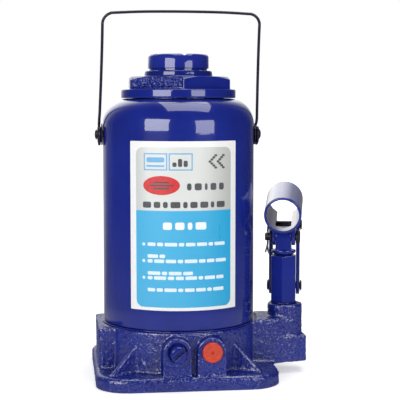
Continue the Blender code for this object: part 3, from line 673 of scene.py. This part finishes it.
def make_tank(material):
    centre = (TANK_RADIUS - SHOULDER_RADIUS, SHOULDER_Z)
    outer = arc(centre, SHOULDER_RADIUS, 0, 90, 28)
    inner = arc(centre, SHOULDER_RADIUS - TANK_WALL, 90, 0, 8)
    wall = [(TANK_RADIUS, height) for height in np.linspace(TANK_LOW.z + 0.9, SHOULDER_Z - 4, 12)]
    outline = ([(TANK_RADIUS - 0.7, TANK_LOW.z), (TANK_RADIUS - 0.2, TANK_LOW.z + 0.25)] + wall + outer
               + [(TANK_MOUTH, TANK_HIGH.z), (TANK_MOUTH, TANK_HIGH.z - TANK_WALL)] + inner
               + [(TANK_RADIUS - TANK_WALL, TANK_LOW.z)])
    tank = lathe("reservoir_tank_shell", outline, material, ROUND, edge=0)
    settle(tank, "jack_body", "enamel_blue", "reservoir_tank")


NUT_BORE = 21.1
NUT_FLATS = 70.6
NUT_BELOW, NUT_ABOVE = 190, 230  # heights clear of the nut, where cutting tools start and end


def make_cap_nut(material):
    flange_low = TANK_HIGH.z + 0.15
    core = NUT_FLATS / 2 - 2
    collar = 22.6
    rim = NUT_HIGH.z - 3.2
    outline = [(NUT_BORE, NUT_LOW.z), (30, NUT_LOW.z), (30, flange_low), (NUT_HIGH.x, flange_low),
               (NUT_HIGH.x, FLANGE_TOP), (core, FLANGE_TOP), (core, HEX_TOP - 0.5),
               (24.8, HEX_TOP - 0.5), (24.1, NUT_HIGH.z), (collar, NUT_HIGH.z), (collar, rim),
               (NUT_BORE, rim)]
    nut = lathe("cap_nut_forged", outline, material, ROUND, edge=0.6)
    corner = NUT_FLATS / 2 / cos(TURN / 12) + 0.4
    sides = softened(hexagon(NUT_FLATS, 268), 1.5, 5)
    flats = prism("flats", sides, FLANGE_TOP - 1, HEX_TOP, material)
    cone = [(0, FLANGE_TOP - 2), (corner, FLANGE_TOP - 2), (corner, HEX_TOP - 2.6),
            (NUT_FLATS / 2 - 0.6, HEX_TOP + 0.4), (0, HEX_TOP + 0.4)]
    combine(flats, lathe("cone", cone, material, ROUND, edge=0), "INTERSECT")
    cut(flats, rod(23.9, NUT_BELOW, NUT_ABOVE, material, sides=ROUND))
    combine(nut, flats, "UNION")
    groove_in, groove_out, groove_top = 27.2, 33.3, FLANGE_TOP + 1.2
    groove = [(groove_in, NUT_BELOW), (groove_out, NUT_BELOW), (groove_out, groove_top),
              (groove_in, groove_top)]
    cut(nut, lathe("groove", groove, material, ROUND, edge=0))
    remeshed(nut, 0.42, 4)
    settle(nut, "jack_body", "enamel_blue", "cap_nut")


# ---- label ----

LABEL_RADIUS = TANK_RADIUS + 0.28  # back of the label
LABEL_THICK = 0.3
LABEL_TURN = radians(-91.5)
LABEL_HALF = 39.6
PANEL_HALF = 34.8
PANEL_LOW, PANEL_HIGH = 56.0, 165.6
CYAN_TOP = 122.5
INK_LOW, INK_HIGH = LABEL_THICK - 0.05, LABEL_THICK + 0.03


def on_label(along, up, lift):
    """A point of the label from its distance along the curve, its height and its lift off the tank."""
    radius = LABEL_RADIUS + lift
    angle = LABEL_TURN + along / (LABEL_RADIUS + LABEL_THICK)
    return Vector((radius * cos(angle), radius * sin(angle), up)) * MM


def curved_patch(name, ends, heights, lifts, inset, material, step=0.9):
    """A patch bent round the tank. The inset says how far its bottom and top draw in at a place."""
    shape = bmesh.new()
    (left, right), (bottom, top), (low, high) = ends, heights, lifts
    count = max(3, int((right - left) / step))
    columns = []
    for index in range(count + 1):
        # Closer together at the ends, where round outlines turn fastest
        along = left + (right - left) * (0.5 - 0.5 * cos(pi * index / count))
        lower, upper = bottom + inset(along), top - inset(along)
        corners = ((lower, low), (upper, low), (upper, high), (lower, high))
        columns.append([shape.verts.new(on_label(along, up, lift)) for up, lift in corners])
    for first, second in zip(columns, columns[1:]):
        for side in range(4):
            after = (side + 1) % 4
            shape.faces.new((first[side], second[side], second[after], first[after]))
    shape.faces.new(columns[0])
    shape.faces.new(columns[-1][::-1])
    bmesh.ops.remove_doubles(shape, verts=shape.verts, dist=1e-7)
    return made(name, shape, material, 30)


def rounded_patch(name, ends, heights, corner, lifts, material):
    """A curved patch with rounded corners."""
    left, right = ends

    def inset(along):
        reach = max(corner - (along - left), corner - (right - along), 0.0)
        return corner - sqrt(max(corner ** 2 - reach ** 2, 0.0)) if corner else 0.0

    return curved_patch(name, ends, heights, lifts, inset, material)


def oval_patch(name, centre, halves, lift, material, least, step=0.9):
    """A curved patch with an oval outline, at least a small share of its height at the ends."""
    (x, z), (half_x, half_z) = centre, halves

    def inset(along):
        return half_z - half_z * sqrt(max(1 - ((along - x) / half_x) ** 2, least))

    return curved_patch(name, (x - half_x, x + half_x), (z - half_z, z + half_z),
                        (INK_LOW + lift, INK_HIGH + lift), inset, material, step)


def bar(left, right, low, high, ink, corner=0.4, lift=0.04):
    """A printed bar. Its lift keeps it clear of the ink underneath."""
    lifts = (INK_LOW + lift, INK_HIGH + lift)
    return rounded_patch("bar", (left, right), (low, high), corner, lifts, ink)


def emblem_marks(inks):
    """Two outlined cells, three columns and a pair of chevrons, along the panel's top."""
    blue, dark = inks["blue"], inks["dark"]
    low, high, line = 149.9, 161.6, 0.8
    marks = []
    for left, right in ((-28.6, -11.9), (-10.9, 5.4)):
        marks += [bar(left, right, high - line, high, blue, 0),
                  bar(left, right, low, low + line, blue, 0),
                  bar(left, left + line, low, high, blue, 0, 0.05),
                  bar(right - line, right, low, high, blue, 0, 0.05)]
    marks += [bar(-26.6, -13.9, 155.4, 158.8, blue, 1.2), bar(-26.6, -13.9, 152.3, 153.5, blue, 0.3)]
    for left, height in ((-8.4, 3.0), (-4.6, 5.4), (-0.8, 4.2)):
        marks.append(bar(left, left + 2.8, low + 2.5, low + 2.5 + height, dark, 0.5))
    for left in (16.6, 22.8):
        for step in range(7):
            start, up = left + abs(step - 3) * 1.45, low + 1 + step * 1.38
            marks.append(bar(start, start + 2.2, up, up + 1.5, dark, 0.3))
    return marks


def oval_mark(inks):
    """A red oval with three dark bands."""
    x, z = -16.2, 139.7
    marks = [oval_patch("oval", (x, z), (12.9, 6.5), 0.03, inks["red"], 0.0004)]
    for offset, length in ((2.1, 5.6), (-2.1, 5.6), (0.0, 8.2)):
        low, high = z + offset - 0.55, z + offset + 0.55
        marks.append(bar(x - length, x + length, low, high, inks["dark"], 0.5, 0.07))
    return marks


def print_marks(inks):
    """Bars and bullets that stand for the lines of print."""
    blocks = [(1.5, 28.6, 136.4, 141.2, 5, "dark"), (-29.4, 29.4, 124.4, 128.6, 9, "dark"),
              (-15.0, 15.0, 109.6, 114.6, 4, "white")]
    margin = 26.0
    lines = ((100.7, 29.5), (92.6, -13.5), (89.2, 30.5), (80.9, 5.5), (77.6, 28.5), (69.4, 28.5))
    for top, right in lines:
        blocks.append((-margin, right, top - 2.4, top, max(2, int((right + margin) / 6.5)), "ink"))
    marks = []
    for left, right, low, high, words, ink in blocks:
        gap = (high - low) * 0.45
        shares = [1 + 0.45 * sin(2.4 * index + left + low) for index in range(words)]
        room = right - left - gap * (words - 1)
        start = left
        for share in shares:
            width = room * share / sum(shares)
            marks.append(bar(start, start + width, low, high, inks[ink], (high - low) * 0.22))
            start += width + gap
    for height in (99.4, 88.0, 76.4):
        marks.append(oval_patch("bullet", (-28.9, height), (1.1, 1.1), 0.04, inks["ink"], 0.0025, 0.3))
    return marks


def make_label(film, inks):
    """The printed label: a white film, a silver to blue panel, and plain marks that stand for print."""
    sheet = rounded_patch("label_film", (-LABEL_HALF, LABEL_HALF), (LABEL_LOW.z, LABEL_HIGH.z), 0.7,
                          (0, LABEL_THICK), film)
    settle(sheet, "jack_body", "label_film", "label_plate")
    panel = rounded_patch("label_panel", (-PANEL_HALF, PANEL_HALF), (PANEL_LOW, PANEL_HIGH), 5.0,
                          (INK_LOW, INK_HIGH), inks["panel"])
    settle(panel, "jack_body", "label_film")
    marks = emblem_marks(inks) + oval_mark(inks) + print_marks(inks)
    settle(joined("label_print", marks), "jack_body", "label_film")


# ---- ram and extension screw ----

RAM_BORE = 15.6
THREAD_PITCH = 6.0
THREAD_DEPTH = 1.7
SCREW_RADIUS = 15.0
SADDLE_HEIGHT = 11.5
GROOVES = 6
GROOVE_START = radians(36)
GROOVE_DEPTH = 1.1


def make_ram(material):
    piston = RAM_LOW.z + 11
    outline = [(0, RAM_LOW.z), (9, RAM_LOW.z), (9, piston), (RAM_HIGH.x, piston),
               (RAM_HIGH.x, piston + 7), (21, piston + 7), (21, RAM_HIGH.z), (RAM_BORE, RAM_HIGH.z),
               (RAM_BORE, 70), (0, 66)]
    settle(lathe("ram_chromed", outline, material, ROUND, edge=0.8), "ram", "chrome_steel", "ram")


def make_extension_screw(material):
    """The screw with its rolled thread, and the saddle with the grooves that grip the load."""
    low, top = SCREW_LOW.z, SCREW_HIGH.z
    saddle, saddle_low = SCREW_HIGH.x, top - SADDLE_HEIGHT
    thread = np.arange(low + 7.5, saddle_low - 3, THREAD_PITCH / 12)
    outline = [(0, low), (13.2, low), (13.2, low + 2), (12.2, low + 2), (12.2, low + 4.2),
               (13.3, low + 5)]
    outline += [(SCREW_RADIUS, height) for height in thread]
    outline += [(SCREW_RADIUS, saddle_low - 1), (SCREW_RADIUS, saddle_low), (saddle - 1.1, saddle_low),
                (saddle - 1.1, saddle_low + 1.2), (saddle, saddle_low + 1.6), (saddle, top - 1.9),
                (saddle - 0.55, top - 0.75), (saddle - 1.6, top - 0.12)]
    outline += [(radius, top) for radius in np.linspace(saddle - 2.6, 7, 14)]
    outline += [(6, top), (4, top - 2), (0, top - 2.5)]

    def rule(angle, radius, height):
        if abs(radius - SCREW_RADIUS) < 0.01 and height < saddle_low - 2:
            turn = (height / THREAD_PITCH - angle / TURN) % 1
            crest = min(max((abs(turn - 0.5) - 0.12) / 0.2, 0), 1)
            return radius - THREAD_DEPTH * crest, height
        if height > top - 2.2 and radius > 6.5:
            spacing = TURN / GROOVES
            nearest = (angle - GROOVE_START + spacing / 2) % spacing - spacing / 2
            off = abs(radius * sin(nearest))
            share = min(max((1.9 - off) / 0.9, 0), 1) * min((radius - 6.5) / 2.5, 1)
            return radius, min(height, top - GROOVE_DEPTH * share)
        return radius, height

    screw = lathe("extension_screw_threaded", outline, material, 240, edge=0, rule=rule, start=0.5,
                  sharp=38)
    settle(screw, "saddle_screw", "enamel_blue", "extension_screw")


# ---- bail ----

WIRE_RADIUS = 1.0
BAIL_X = 57.0
BAIL_TOP_X = 55.0
EYE_RADIUS = 7.0
BAIL_TILT = radians(16.5)
BAIL_TOP = 89.3
BAIL_CORNER = 8.0
RIVET_BORE = 2.75


def make_bail(material):
    """One bent wire: an eye round each pivot boss, two legs and a bowed grip."""
    loop = [(BAIL_X, y, z) for y, z in arc((0, 0), EYE_RADIUS, -240, 50, 29)]
    leg = [(BAIL_X, 1.9, 8.6), (BAIL_X - 0.1, 0.5, 12.5), (BAIL_X - 0.4, 0, 18), (BAIL_X - 1.2, 0, 42),
           (BAIL_TOP_X + 0.2, 0, 66)]
    centre = (BAIL_TOP_X - BAIL_CORNER, BAIL_TOP - BAIL_CORNER - 1.2)
    turn = [(x, 0, z) for x, z in arc(centre, BAIL_CORNER, 0, 84, 12)]
    grip = [(30, 0, BAIL_TOP - 0.35), (10, 0, BAIL_TOP - 0.02)]
    half = loop + leg + turn + grip
    path = smoothed(half + [(-x, y, z) for x, y, z in reversed(half)], 3)
    frame_ = at(0, 0, PIVOT_Z) @ Matrix.Rotation(BAIL_TILT, 4, "X")
    wire = tube("bail_wire", path, WIRE_RADIUS, material, 20, frame_)
    settle(wire, "bail", "black_steel", "bail_handle")


def make_pivots(material):
    head, step_out, top = 58.6, TANK_RADIUS + 1.1, 58.3
    dome = [(3.6 * cos(radians(a)), 59.0 + 1.3 * sin(radians(a))) for a in range(0, 86, 12)]
    rivet = [(0, 49.5), (2.4, 49.5), (2.4, head), (3.6, head)] + dome + [(0, 60.3)]
    boss = [(RIVET_BORE, TANK_RADIUS + 0.3), (7.8, TANK_RADIUS + 0.3), (7.8, step_out), (5.6, step_out),
            (5.6, top), (RIVET_BORE, top)]
    for side, name in ((-1, "left"), (1, "right")):
        frame_ = at(0, 0, PIVOT_Z) @ Matrix.Rotation(side * TURN / 4, 4, "Y")
        pin = lathe("bail_rivet_" + name, rivet, material, 48, frame_, edge=0.2)
        settle(pin, "jack_body", "black_steel", "bail_pivot_" + name)
        bush = lathe("bail_bush_" + name, boss, material, 64, frame_, edge=0.25)
        settle(bush, "jack_body", "black_steel", "bail_boss_" + name)


# ---- valves ----

def make_release_valve(material):
    front = facing_front(RELEASE_X, 0, VALVE_Z)
    knob = -box_mm("release_valve_screw")[0].y
    outline = [(0, 41.1), (2.2, 41.1), (4.1, 43), (4.1, 48.9), (3.4, 48.9), (3.4, 62.8), (4.2, 63.6),
               (5.6, 64.4), (5.6, knob - 0.9), (4.7, knob), (0, knob + 0.1)]
    valve = lathe("release_knob", outline, material, 72, front, edge=0.5)
    slot = softened([(-1.5, 66.8), (1.5, 66.8), (1.5, 75), (-1.5, 75)], 0.3)
    turned = front @ Matrix.Rotation(radians(40), 4, "Z") @ SIDE
    cut(valve, prism("slot", slot, -8, 8, material, turned))
    remeshed(valve, 0.24, 2)
    settle(valve, "release_knob", "enamel_blue", "release_valve_screw")


def make_safety_cap(material):
    low, high = box_mm("safety_valve_cap")
    back, face, rim, shank, collar = -high.y, -low.y, (high.x - low.x) / 2, 5.1, 63.3
    outline = [(0, back), (4.6, back), (shank, back + 0.8), (shank, collar), (rim, collar),
               (rim, face - 0.9), (rim - 0.9, face), (rim - 2.2, face + 0.05), (rim - 2.6, face - 0.25),
               (1.3, face - 0.25), (1.0, face - 0.3), (0.75, face - 1.3), (0, face - 1.4)]
    cap = lathe("safety_cap", outline, material, 96, facing_front(SAFETY_X, 0, VALVE_Z), edge=0.3)
    settle(cap, "jack_body", "red_plastic", "safety_valve_cap")


# ---- hand pump ----

COLUMN_FLATS = 17.5
COLUMN_TOP = 85.0
BOSS_TOP = 50.0
SHANK_RADIUS = 7.1
PIN_Z = 98.3
EYE_HALF = 5.6
SOCKET_RADIUS = 13.4
SOCKET_BORE = 11.6
SOCKET_LENGTH = 43.0
SOCKET_TILT = radians(12)
SOCKET_FRONT = (-21.0, 115.6)
SLOT_HALF = 5.6
SLOT_FROM_FRONT = 9.0
EAR_RADIUS = 6.2
LINK_BORE = 2.85
SPLIT_PIN_X = -11.6


def make_pump_body(material):
    sides = softened(hexagon(COLUMN_FLATS, 270), 0.9, 4)
    barrel = prism("pump_barrel", sides, BOSS_TOP + 1.4, COLUMN_TOP, material, PUMP)
    tip = COLUMN_TOP + 0.4
    cone = [(0, 45), (14, 45), (14, COLUMN_TOP - 3.4), (8.3, tip), (0, tip)]
    combine(barrel, lathe("cone", cone, material, 96, PUMP, edge=0), "INTERSECT")
    combine(barrel, rod(SHANK_RADIUS, 31, BOSS_TOP + 3, material, PUMP), "UNION")
    for radius, low in ((5.7, 25), (7.1, COLUMN_TOP - 4)):
        cut(barrel, rod(radius, low, 98, material, PUMP))
    remeshed(barrel, 0.36, 3)
    settle(barrel, "jack_body", "enamel_blue", "pump_body")


def make_plunger(material):
    neck = PIN_Z - 9.3
    step = COLUMN_TOP + 0.6
    outline = [(0, 32.5), (4.2, 32.5), (4.2, 35.1), (3.4, 35.1), (3.4, 38.1), (5.6, 38.1), (5.6, step),
               (6.8, step), (8.8, step + 1.4), (8.8, neck), (0, neck)]
    plunger = lathe("plunger_turned", outline, material, 96, PUMP, edge=0.5)
    eye = arc((0, PIN_Z), 7.6, 0, 180, 32) + [(-7.6, PIN_Z - 10), (7.6, PIN_Z - 10)]
    combine(plunger, prism("eye", eye, -EYE_HALF, EYE_HALF, material, PUMP_SIDE), "UNION")
    slot = belt((-1.3, PIN_Z), (1.3, PIN_Z), 3.35)
    cut(plunger, prism("slot", slot, -20, 20, material, PUMP_SIDE))
    remeshed(plunger, 0.34, 3)
    settle(plunger, "plunger", "enamel_blue", "pump_plunger")


def make_socket(material):
    """The lever socket: a tube with rounded rims, slotted underneath, welded to two pressed ears."""
    front_y, front_z = SOCKET_FRONT
    frame_ = PUMP @ at(0, front_y, front_z) @ Matrix.Rotation(-TURN / 4 + SOCKET_TILT, 4, "X")
    link_z = LINK_HIGH.z
    outline = [(0, 0), (SOCKET_RADIUS, 0), (SOCKET_RADIUS, SOCKET_LENGTH), (0, SOCKET_LENGTH)]
    socket = lathe("lever_socket", outline, material, 120, frame_, edge=0.9)
    axis_z = front_z - front_y * tan(SOCKET_TILT)
    lowest = 270 + degrees(atan2(link_z - PIN_Z, LINK_BACK))
    ear = arc((0, PIN_Z), EAR_RADIUS, 180, lowest, 18)
    ear += arc((LINK_BACK, link_z), EAR_RADIUS, lowest, 360, 14)
    ear += [(LINK_BACK + EAR_RADIUS, axis_z), (-EAR_RADIUS, axis_z)]
    for low, high in ((-8.4, -5.9), (5.9, 8.4)):
        combine(socket, prism("ear", ear, low, high, material, PUMP_SIDE), "UNION")
    cut(socket, rod(SOCKET_BORE, -20, 80, material, frame_, 118))
    slot = [(-SLOT_HALF, 2), (SLOT_HALF, 2), (SLOT_HALF, 30), (-SLOT_HALF, 30)]
    cut(socket, prism("slot", slot, SLOT_FROM_FRONT, 80, material, frame_))
    for back, up, radius in ((0, PIN_Z, 3.1), (LINK_BACK, link_z, LINK_BORE)):
        cut(socket, rod(radius, -20, 20, material, across(back, up), 40))
    remeshed(socket, 0.36, 3)
    settle(socket, "socket", "enamel_blue", "handle_socket")


def make_links(material):
    strap = belt((LINK_BACK, LINK_LOW.z), (LINK_BACK, LINK_HIGH.z), 6.5)
    for name, low, high in (("left", -11.2, -8.7), ("right", 8.7, 11.2)):
        link = prism("link_" + name, strap, low, high, material, PUMP_SIDE, edge=0.45)
        for height in (LINK_LOW.z, LINK_HIGH.z):
            cut(link, rod(LINK_BORE, -20, 20, material, across(LINK_BACK, height), 40))
        settle(link, "link", "enamel_blue", "link_plate_" + name)


def make_link_pins(material):
    half = [(2.6, 11.6), (4.0, 11.6), (3.9, 12.3), (3.1, 12.85), (0, 12.95)]
    outline = [(radius, -reach) for radius, reach in reversed(half)] + half
    for name, node, body, height in (("lower_rivet", "link_lower_pin", "jack_body", LINK_LOW.z),
                                     ("upper_rivet", "socket_link_pin", "socket", LINK_HIGH.z)):
        rivet = lathe(name, outline, material, 48, across(LINK_BACK, height), edge=0.2)
        settle(rivet, body, "black_steel", node)


def make_plunger_pin(material, bright):
    """The headed pin, its washer, and the split pin that holds them."""
    frame_ = across(0, PIN_Z)
    outline = [(0, -13.6), (2.5, -13.6), (2.9, -13.2), (2.9, 8.8), (5.0, 8.8), (5.0, 11.1), (4.1, 12.0),
               (0, 12.1)]
    pin = lathe("plunger_pin_headed", outline, material, 56, frame_, edge=0.3)
    hole = PUMP @ at(SPLIT_PIN_X, 0, PIN_Z)
    cut(pin, rod(1.1, -9, 9, material, hole, 24))
    settle(pin, "socket", "black_steel", "plunger_pin")
    outline = [(3.2, -10.2), (5.0, -10.2), (5.0, -8.8), (3.2, -8.8)]
    washer = lathe("plunger_pin_washer", outline, material, 56, frame_, edge=0.25)
    settle(washer, "socket", "black_steel", "pin_washer")
    long_leg = [(0.9, 0, -12.0), (0.3, 0, -10.0), (-0.2, 0, -7.0), (0, 0, -4.6), (0, 0, 0),
                (0, 0.05, 3.4), (0, 1.15, 4.6), (0, 1.45, 5.8), (0, 0.8, 7.0), (0, -0.8, 7.0),
                (0, -1.45, 5.8), (0, -1.0, 4.7)]
    short_leg = [(0, 0.05, -4.1), (-0.1, 0.15, -5.2), (-0.7, 0.5, -8.0), (-1.6, 0.9, -11.4)]
    legs = [tube("leg", smoothed(points, 5), radius, bright, 14, hole)
            for points, radius in ((long_leg, 0.7), (short_leg, 0.6))]
    settle(joined("split_pin", legs), "socket", "black_steel", "cotter_pin")


# ---- trims and hidden pieces ----

def ring_piece(name, node, inner, material, slot, frame_=WORLD, edge=0.2):
    """Replaces a ring-shaped node with a finer one of the same size, round a vertical axis."""
    low, high = box_mm(node)
    outer = (high.x - low.x) / 2
    outline = [(inner, low.z), (outer, low.z), (outer, high.z), (inner, high.z)]
    ring = lathe(name, outline, material, 120, frame_, edge=min(edge, (high.z - low.z) * 0.45))
    settle(ring, "jack_body", slot, node)


def make_rings(nitrile, painted):
    ring_piece("tank_seal", "tank_gasket", 51.6, painted, "rubber", edge=0.35)
    ring_piece("shoulder_seal", "top_gasket", 33.9, painted, "rubber")
    ring_piece("ram_wiper", "wiper_seal", 21.12, nitrile, "rubber", edge=0.5)
    ring_piece("ram_gland", "gland_seal", 21.12, nitrile, "rubber")
    ring_piece("barrel_washer", "pump_washer", 7.6, painted, "copper", PUMP, edge=0.3)
    ring_piece("plunger_wiper", "pump_wiper", 5.72, nitrile, "rubber", PUMP)


def make_passage_plug(material):
    """A short screw with a hexagon socket, which shuts the end of an oil passage."""
    low, high = box_mm("passage_plug")
    centre = (low + high) / 2
    outline = [(0, low.x), (3.1, low.x), (3.1, high.x), (0, high.x)]
    frame_ = at(0, centre.y, centre.z) @ Matrix.Rotation(TURN / 4, 4, "Y")
    plug = lathe("passage_screw", outline, material, 48, frame_, edge=0.5)
    cut(plug, prism("key", hexagon(3.0, 0), high.x - 2.5, high.x + 5, material, frame_))
    settle(plug, "jack_body", "black_steel", "passage_plug")


def make_filler_bung(material):
    low, high = box_mm("filler_plug")
    seat = TANK_RADIUS + 0.3
    outline = [(0, 48), (4.6, 48), (5.2, 50), (5.2, seat), (8, seat), (8, seat + 1.6), (6.9, seat + 2.9),
               (3.4, seat + 3.2), (2.8, seat + 2.5), (0, seat + 2.4)]
    frame_ = at(0, 0, (low.z + high.z) / 2) @ Matrix.Rotation(-TURN / 4, 4, "X")
    bung = lathe("filler_bung", outline, material, 96, frame_, edge=0.5)
    settle(bung, "filler", "rubber", "filler_plug")


def finish_hidden(finishes):
    """New materials on the CAD nodes that keep their own mesh."""
    for material, names in finishes:
        for name in names:
            mesh = NODES[name].data
            mesh.materials.clear()
            mesh.materials.append(material)
            shade(mesh, 32)


# ---- assembly ----

def build_jack():
    gloss = enamel("enamel_blue")
    turned = enamel("enamel_turned", peel=0.005, runs=False)
    oxide = black_oxide()
    chrome = steel("chrome_steel", (0.78, 0.79, 0.81), 0.10, grain=(1, 1, 1), depth=0.001)
    bright = steel("machined_steel", (0.52, 0.52, 0.53), 0.30)
    copper = steel("copper", (0.72, 0.33, 0.18), 0.28, grain=(1, 1, 8))
    nitrile = rubber()
    film = printed("label_film", (0.76, 0.77, 0.76), (0.70, 0.71, 0.71))
    inks = {"panel": label_panel(),
            "dark": printed("ink_dark", (0.055, 0.060, 0.068), (0.085, 0.090, 0.100)),
            "blue": printed("ink_blue", (0.10, 0.34, 0.62), (0.14, 0.38, 0.66)),
            "ink": printed("ink_pale", (0.66, 0.76, 0.82), (0.58, 0.70, 0.78)),
            "white": printed("ink_white", (0.78, 0.84, 0.88), (0.68, 0.76, 0.82)),
            "red": printed("ink_red", (0.50, 0.018, 0.022), (0.60, 0.030, 0.030))}

    make_base(cast_enamel())
    make_tank(gloss)
    make_cap_nut(stamped_enamel())
    make_label(film, inks)
    make_ram(chrome)
    make_extension_screw(turned)
    make_bail(oxide)
    make_pivots(oxide)
    make_release_valve(turned)
    make_safety_cap(red_plastic())
    make_pump_body(turned)
    make_plunger(turned)
    make_socket(gloss)
    make_links(turned)
    make_link_pins(oxide)
    make_plunger_pin(oxide, bright)
    make_rings(nitrile, turned)
    make_passage_plug(oxide)
    make_filler_bung(nitrile)
    finish_hidden(((bright, ("hydraulic_cylinder", "piston_nut", "screw_stop_ring", "release_valve_ball",
                             "inlet_ball", "outlet_ball", "safety_valve_ball", "safety_valve_spring",
                             "safety_valve_screw", "suction_strainer")),
                   (copper, ("cylinder_gasket",)), (turned, ("release_valve_packing",)),
                   (nitrile, ("piston_cup_seal", "plunger_seal"))))


# ---- stage, light and camera ----

ROOM_GREY = (0.33, 0.33, 0.335)  # the light that falls from all round
ROOM_BRIGHT_SIDE = (-0.10, 1.0, 0.5)
ROOM_LEVELS = ((0.0, 0.03), (0.76, 0.03), (0.88, 0.14), (0.945, 0.55), (1.0, 1.8))
JACK_MIDDLE = (0, 0, 0.17)


def floor():
    """A wide pale floor. Its far edge is lost against the white background."""
    shape = bmesh.new()
    bmesh.ops.create_grid(shape, x_segments=8, y_segments=8, size=9)
    paper = Surface("floor_paper", roughness=0.9)
    paper.colour(paper.mix(paper.noise(900, detail=2), (0.90, 0.90, 0.905), (0.93, 0.93, 0.93)))
    paper.shader.inputs["Emission Color"].default_value = (1, 1, 1, 1)
    # The paper glows a little more with distance, where the lights no longer reach it
    away = paper.add("VectorMath", operation="LENGTH")
    paper.link(paper.place, away.inputs[0])
    glow = paper.between(away.outputs["Value"], 0.45, 1.3, 0.42, 0.9)
    paper.link(glow, paper.shader.inputs["Emission Strength"])
    ground = made("studio_floor", shape, paper.material)
    ground.visible_glossy = False  # the paint shows the dark room, not the floor


def reflected_room(nodes):
    """What glossy surfaces see: dark in front, a white wall behind and above, and a dim floor."""
    place = nodes.add("TexCoord").outputs["Generated"]
    behind = nodes.add("VectorMath", operation="DOT_PRODUCT")
    behind.inputs[1].default_value = ROOM_BRIGHT_SIDE
    nodes.link(place, behind.inputs[0])
    ramp = nodes.add("ValToRGB")
    nodes.link(nodes.between(behind.outputs["Value"], -1.1, 1.1), ramp.inputs[0])
    for position, _ in ROOM_LEVELS[1:-1]:
        ramp.color_ramp.elements.new(position)
    for element, (position, level) in zip(ramp.color_ramp.elements, ROOM_LEVELS):
        element.position = position
        element.color = (level, level, level, 1)
    below = nodes.between(nodes.parts(place)["Z"], -0.08, -0.26, 0.0, 0.30)
    return nodes.mix(1.0, ramp.outputs[0], below, blend_type="LIGHTEN")


def softbox(name, place, target, width, height, radiance):
    """A rectangular light that faces the target. Power follows from the wanted radiance."""
    light = bpy.data.lights.new(name, "AREA")
    light.shape = "RECTANGLE"
    light.size, light.size_y = width, height
    light.energy = radiance * pi * width * height
    lamp = placed(name, light)
    lamp.location = place
    lamp.rotation_euler = (Vector(target) - Vector(place)).to_track_quat("-Z", "Y").to_euler()
    return lamp


def studio():
    """Even light and a white background, with a room that only reflections see, and three softboxes."""
    world = bpy.data.worlds.new("studio")
    bpy.context.scene.world = world
    world.use_nodes = True
    nodes = Nodes(world.node_tree)
    ray = nodes.add("LightPath").outputs
    light = nodes.mix(ray["Is Glossy Ray"], ROOM_GREY, reflected_room(nodes))
    shown = nodes.mix(ray["Is Camera Ray"], light, (1, 1, 1))
    nodes.link(shown, world.node_tree.nodes["Background"].inputs["Color"])

    left, right = radians(38), radians(33.5)
    softbox("left_softbox", (-sin(left), -cos(left), 0.384), JACK_MIDDLE, 0.68, 0.475, 4.9)
    softbox("right_softbox", (sin(right), -cos(right), 0.329), JACK_MIDDLE, 0.52, 0.37, 3.6)
    overhead = softbox("overhead_softbox", (0.15, 0.35, 1.28), JACK_MIDDLE, 0.72, 1.66, 2.6)
    overhead.rotation_euler = (radians(29), 0, 0)


def camera():
    lens = bpy.data.cameras.new("camera")
    lens.lens = 102.42
    lens.sensor_width = 36
    eye = placed("camera", lens)
    swing, distance = radians(6), 0.823
    eye.location = (-distance * sin(swing), -distance * cos(swing), 0.1965)
    eye.rotation_euler = (radians(85.05), 0, radians(-7.087))
    bpy.context.scene.camera = eye
    bpy.context.scene.view_settings.view_transform = "Standard"


build_jack()
floor()
studio()
camera()
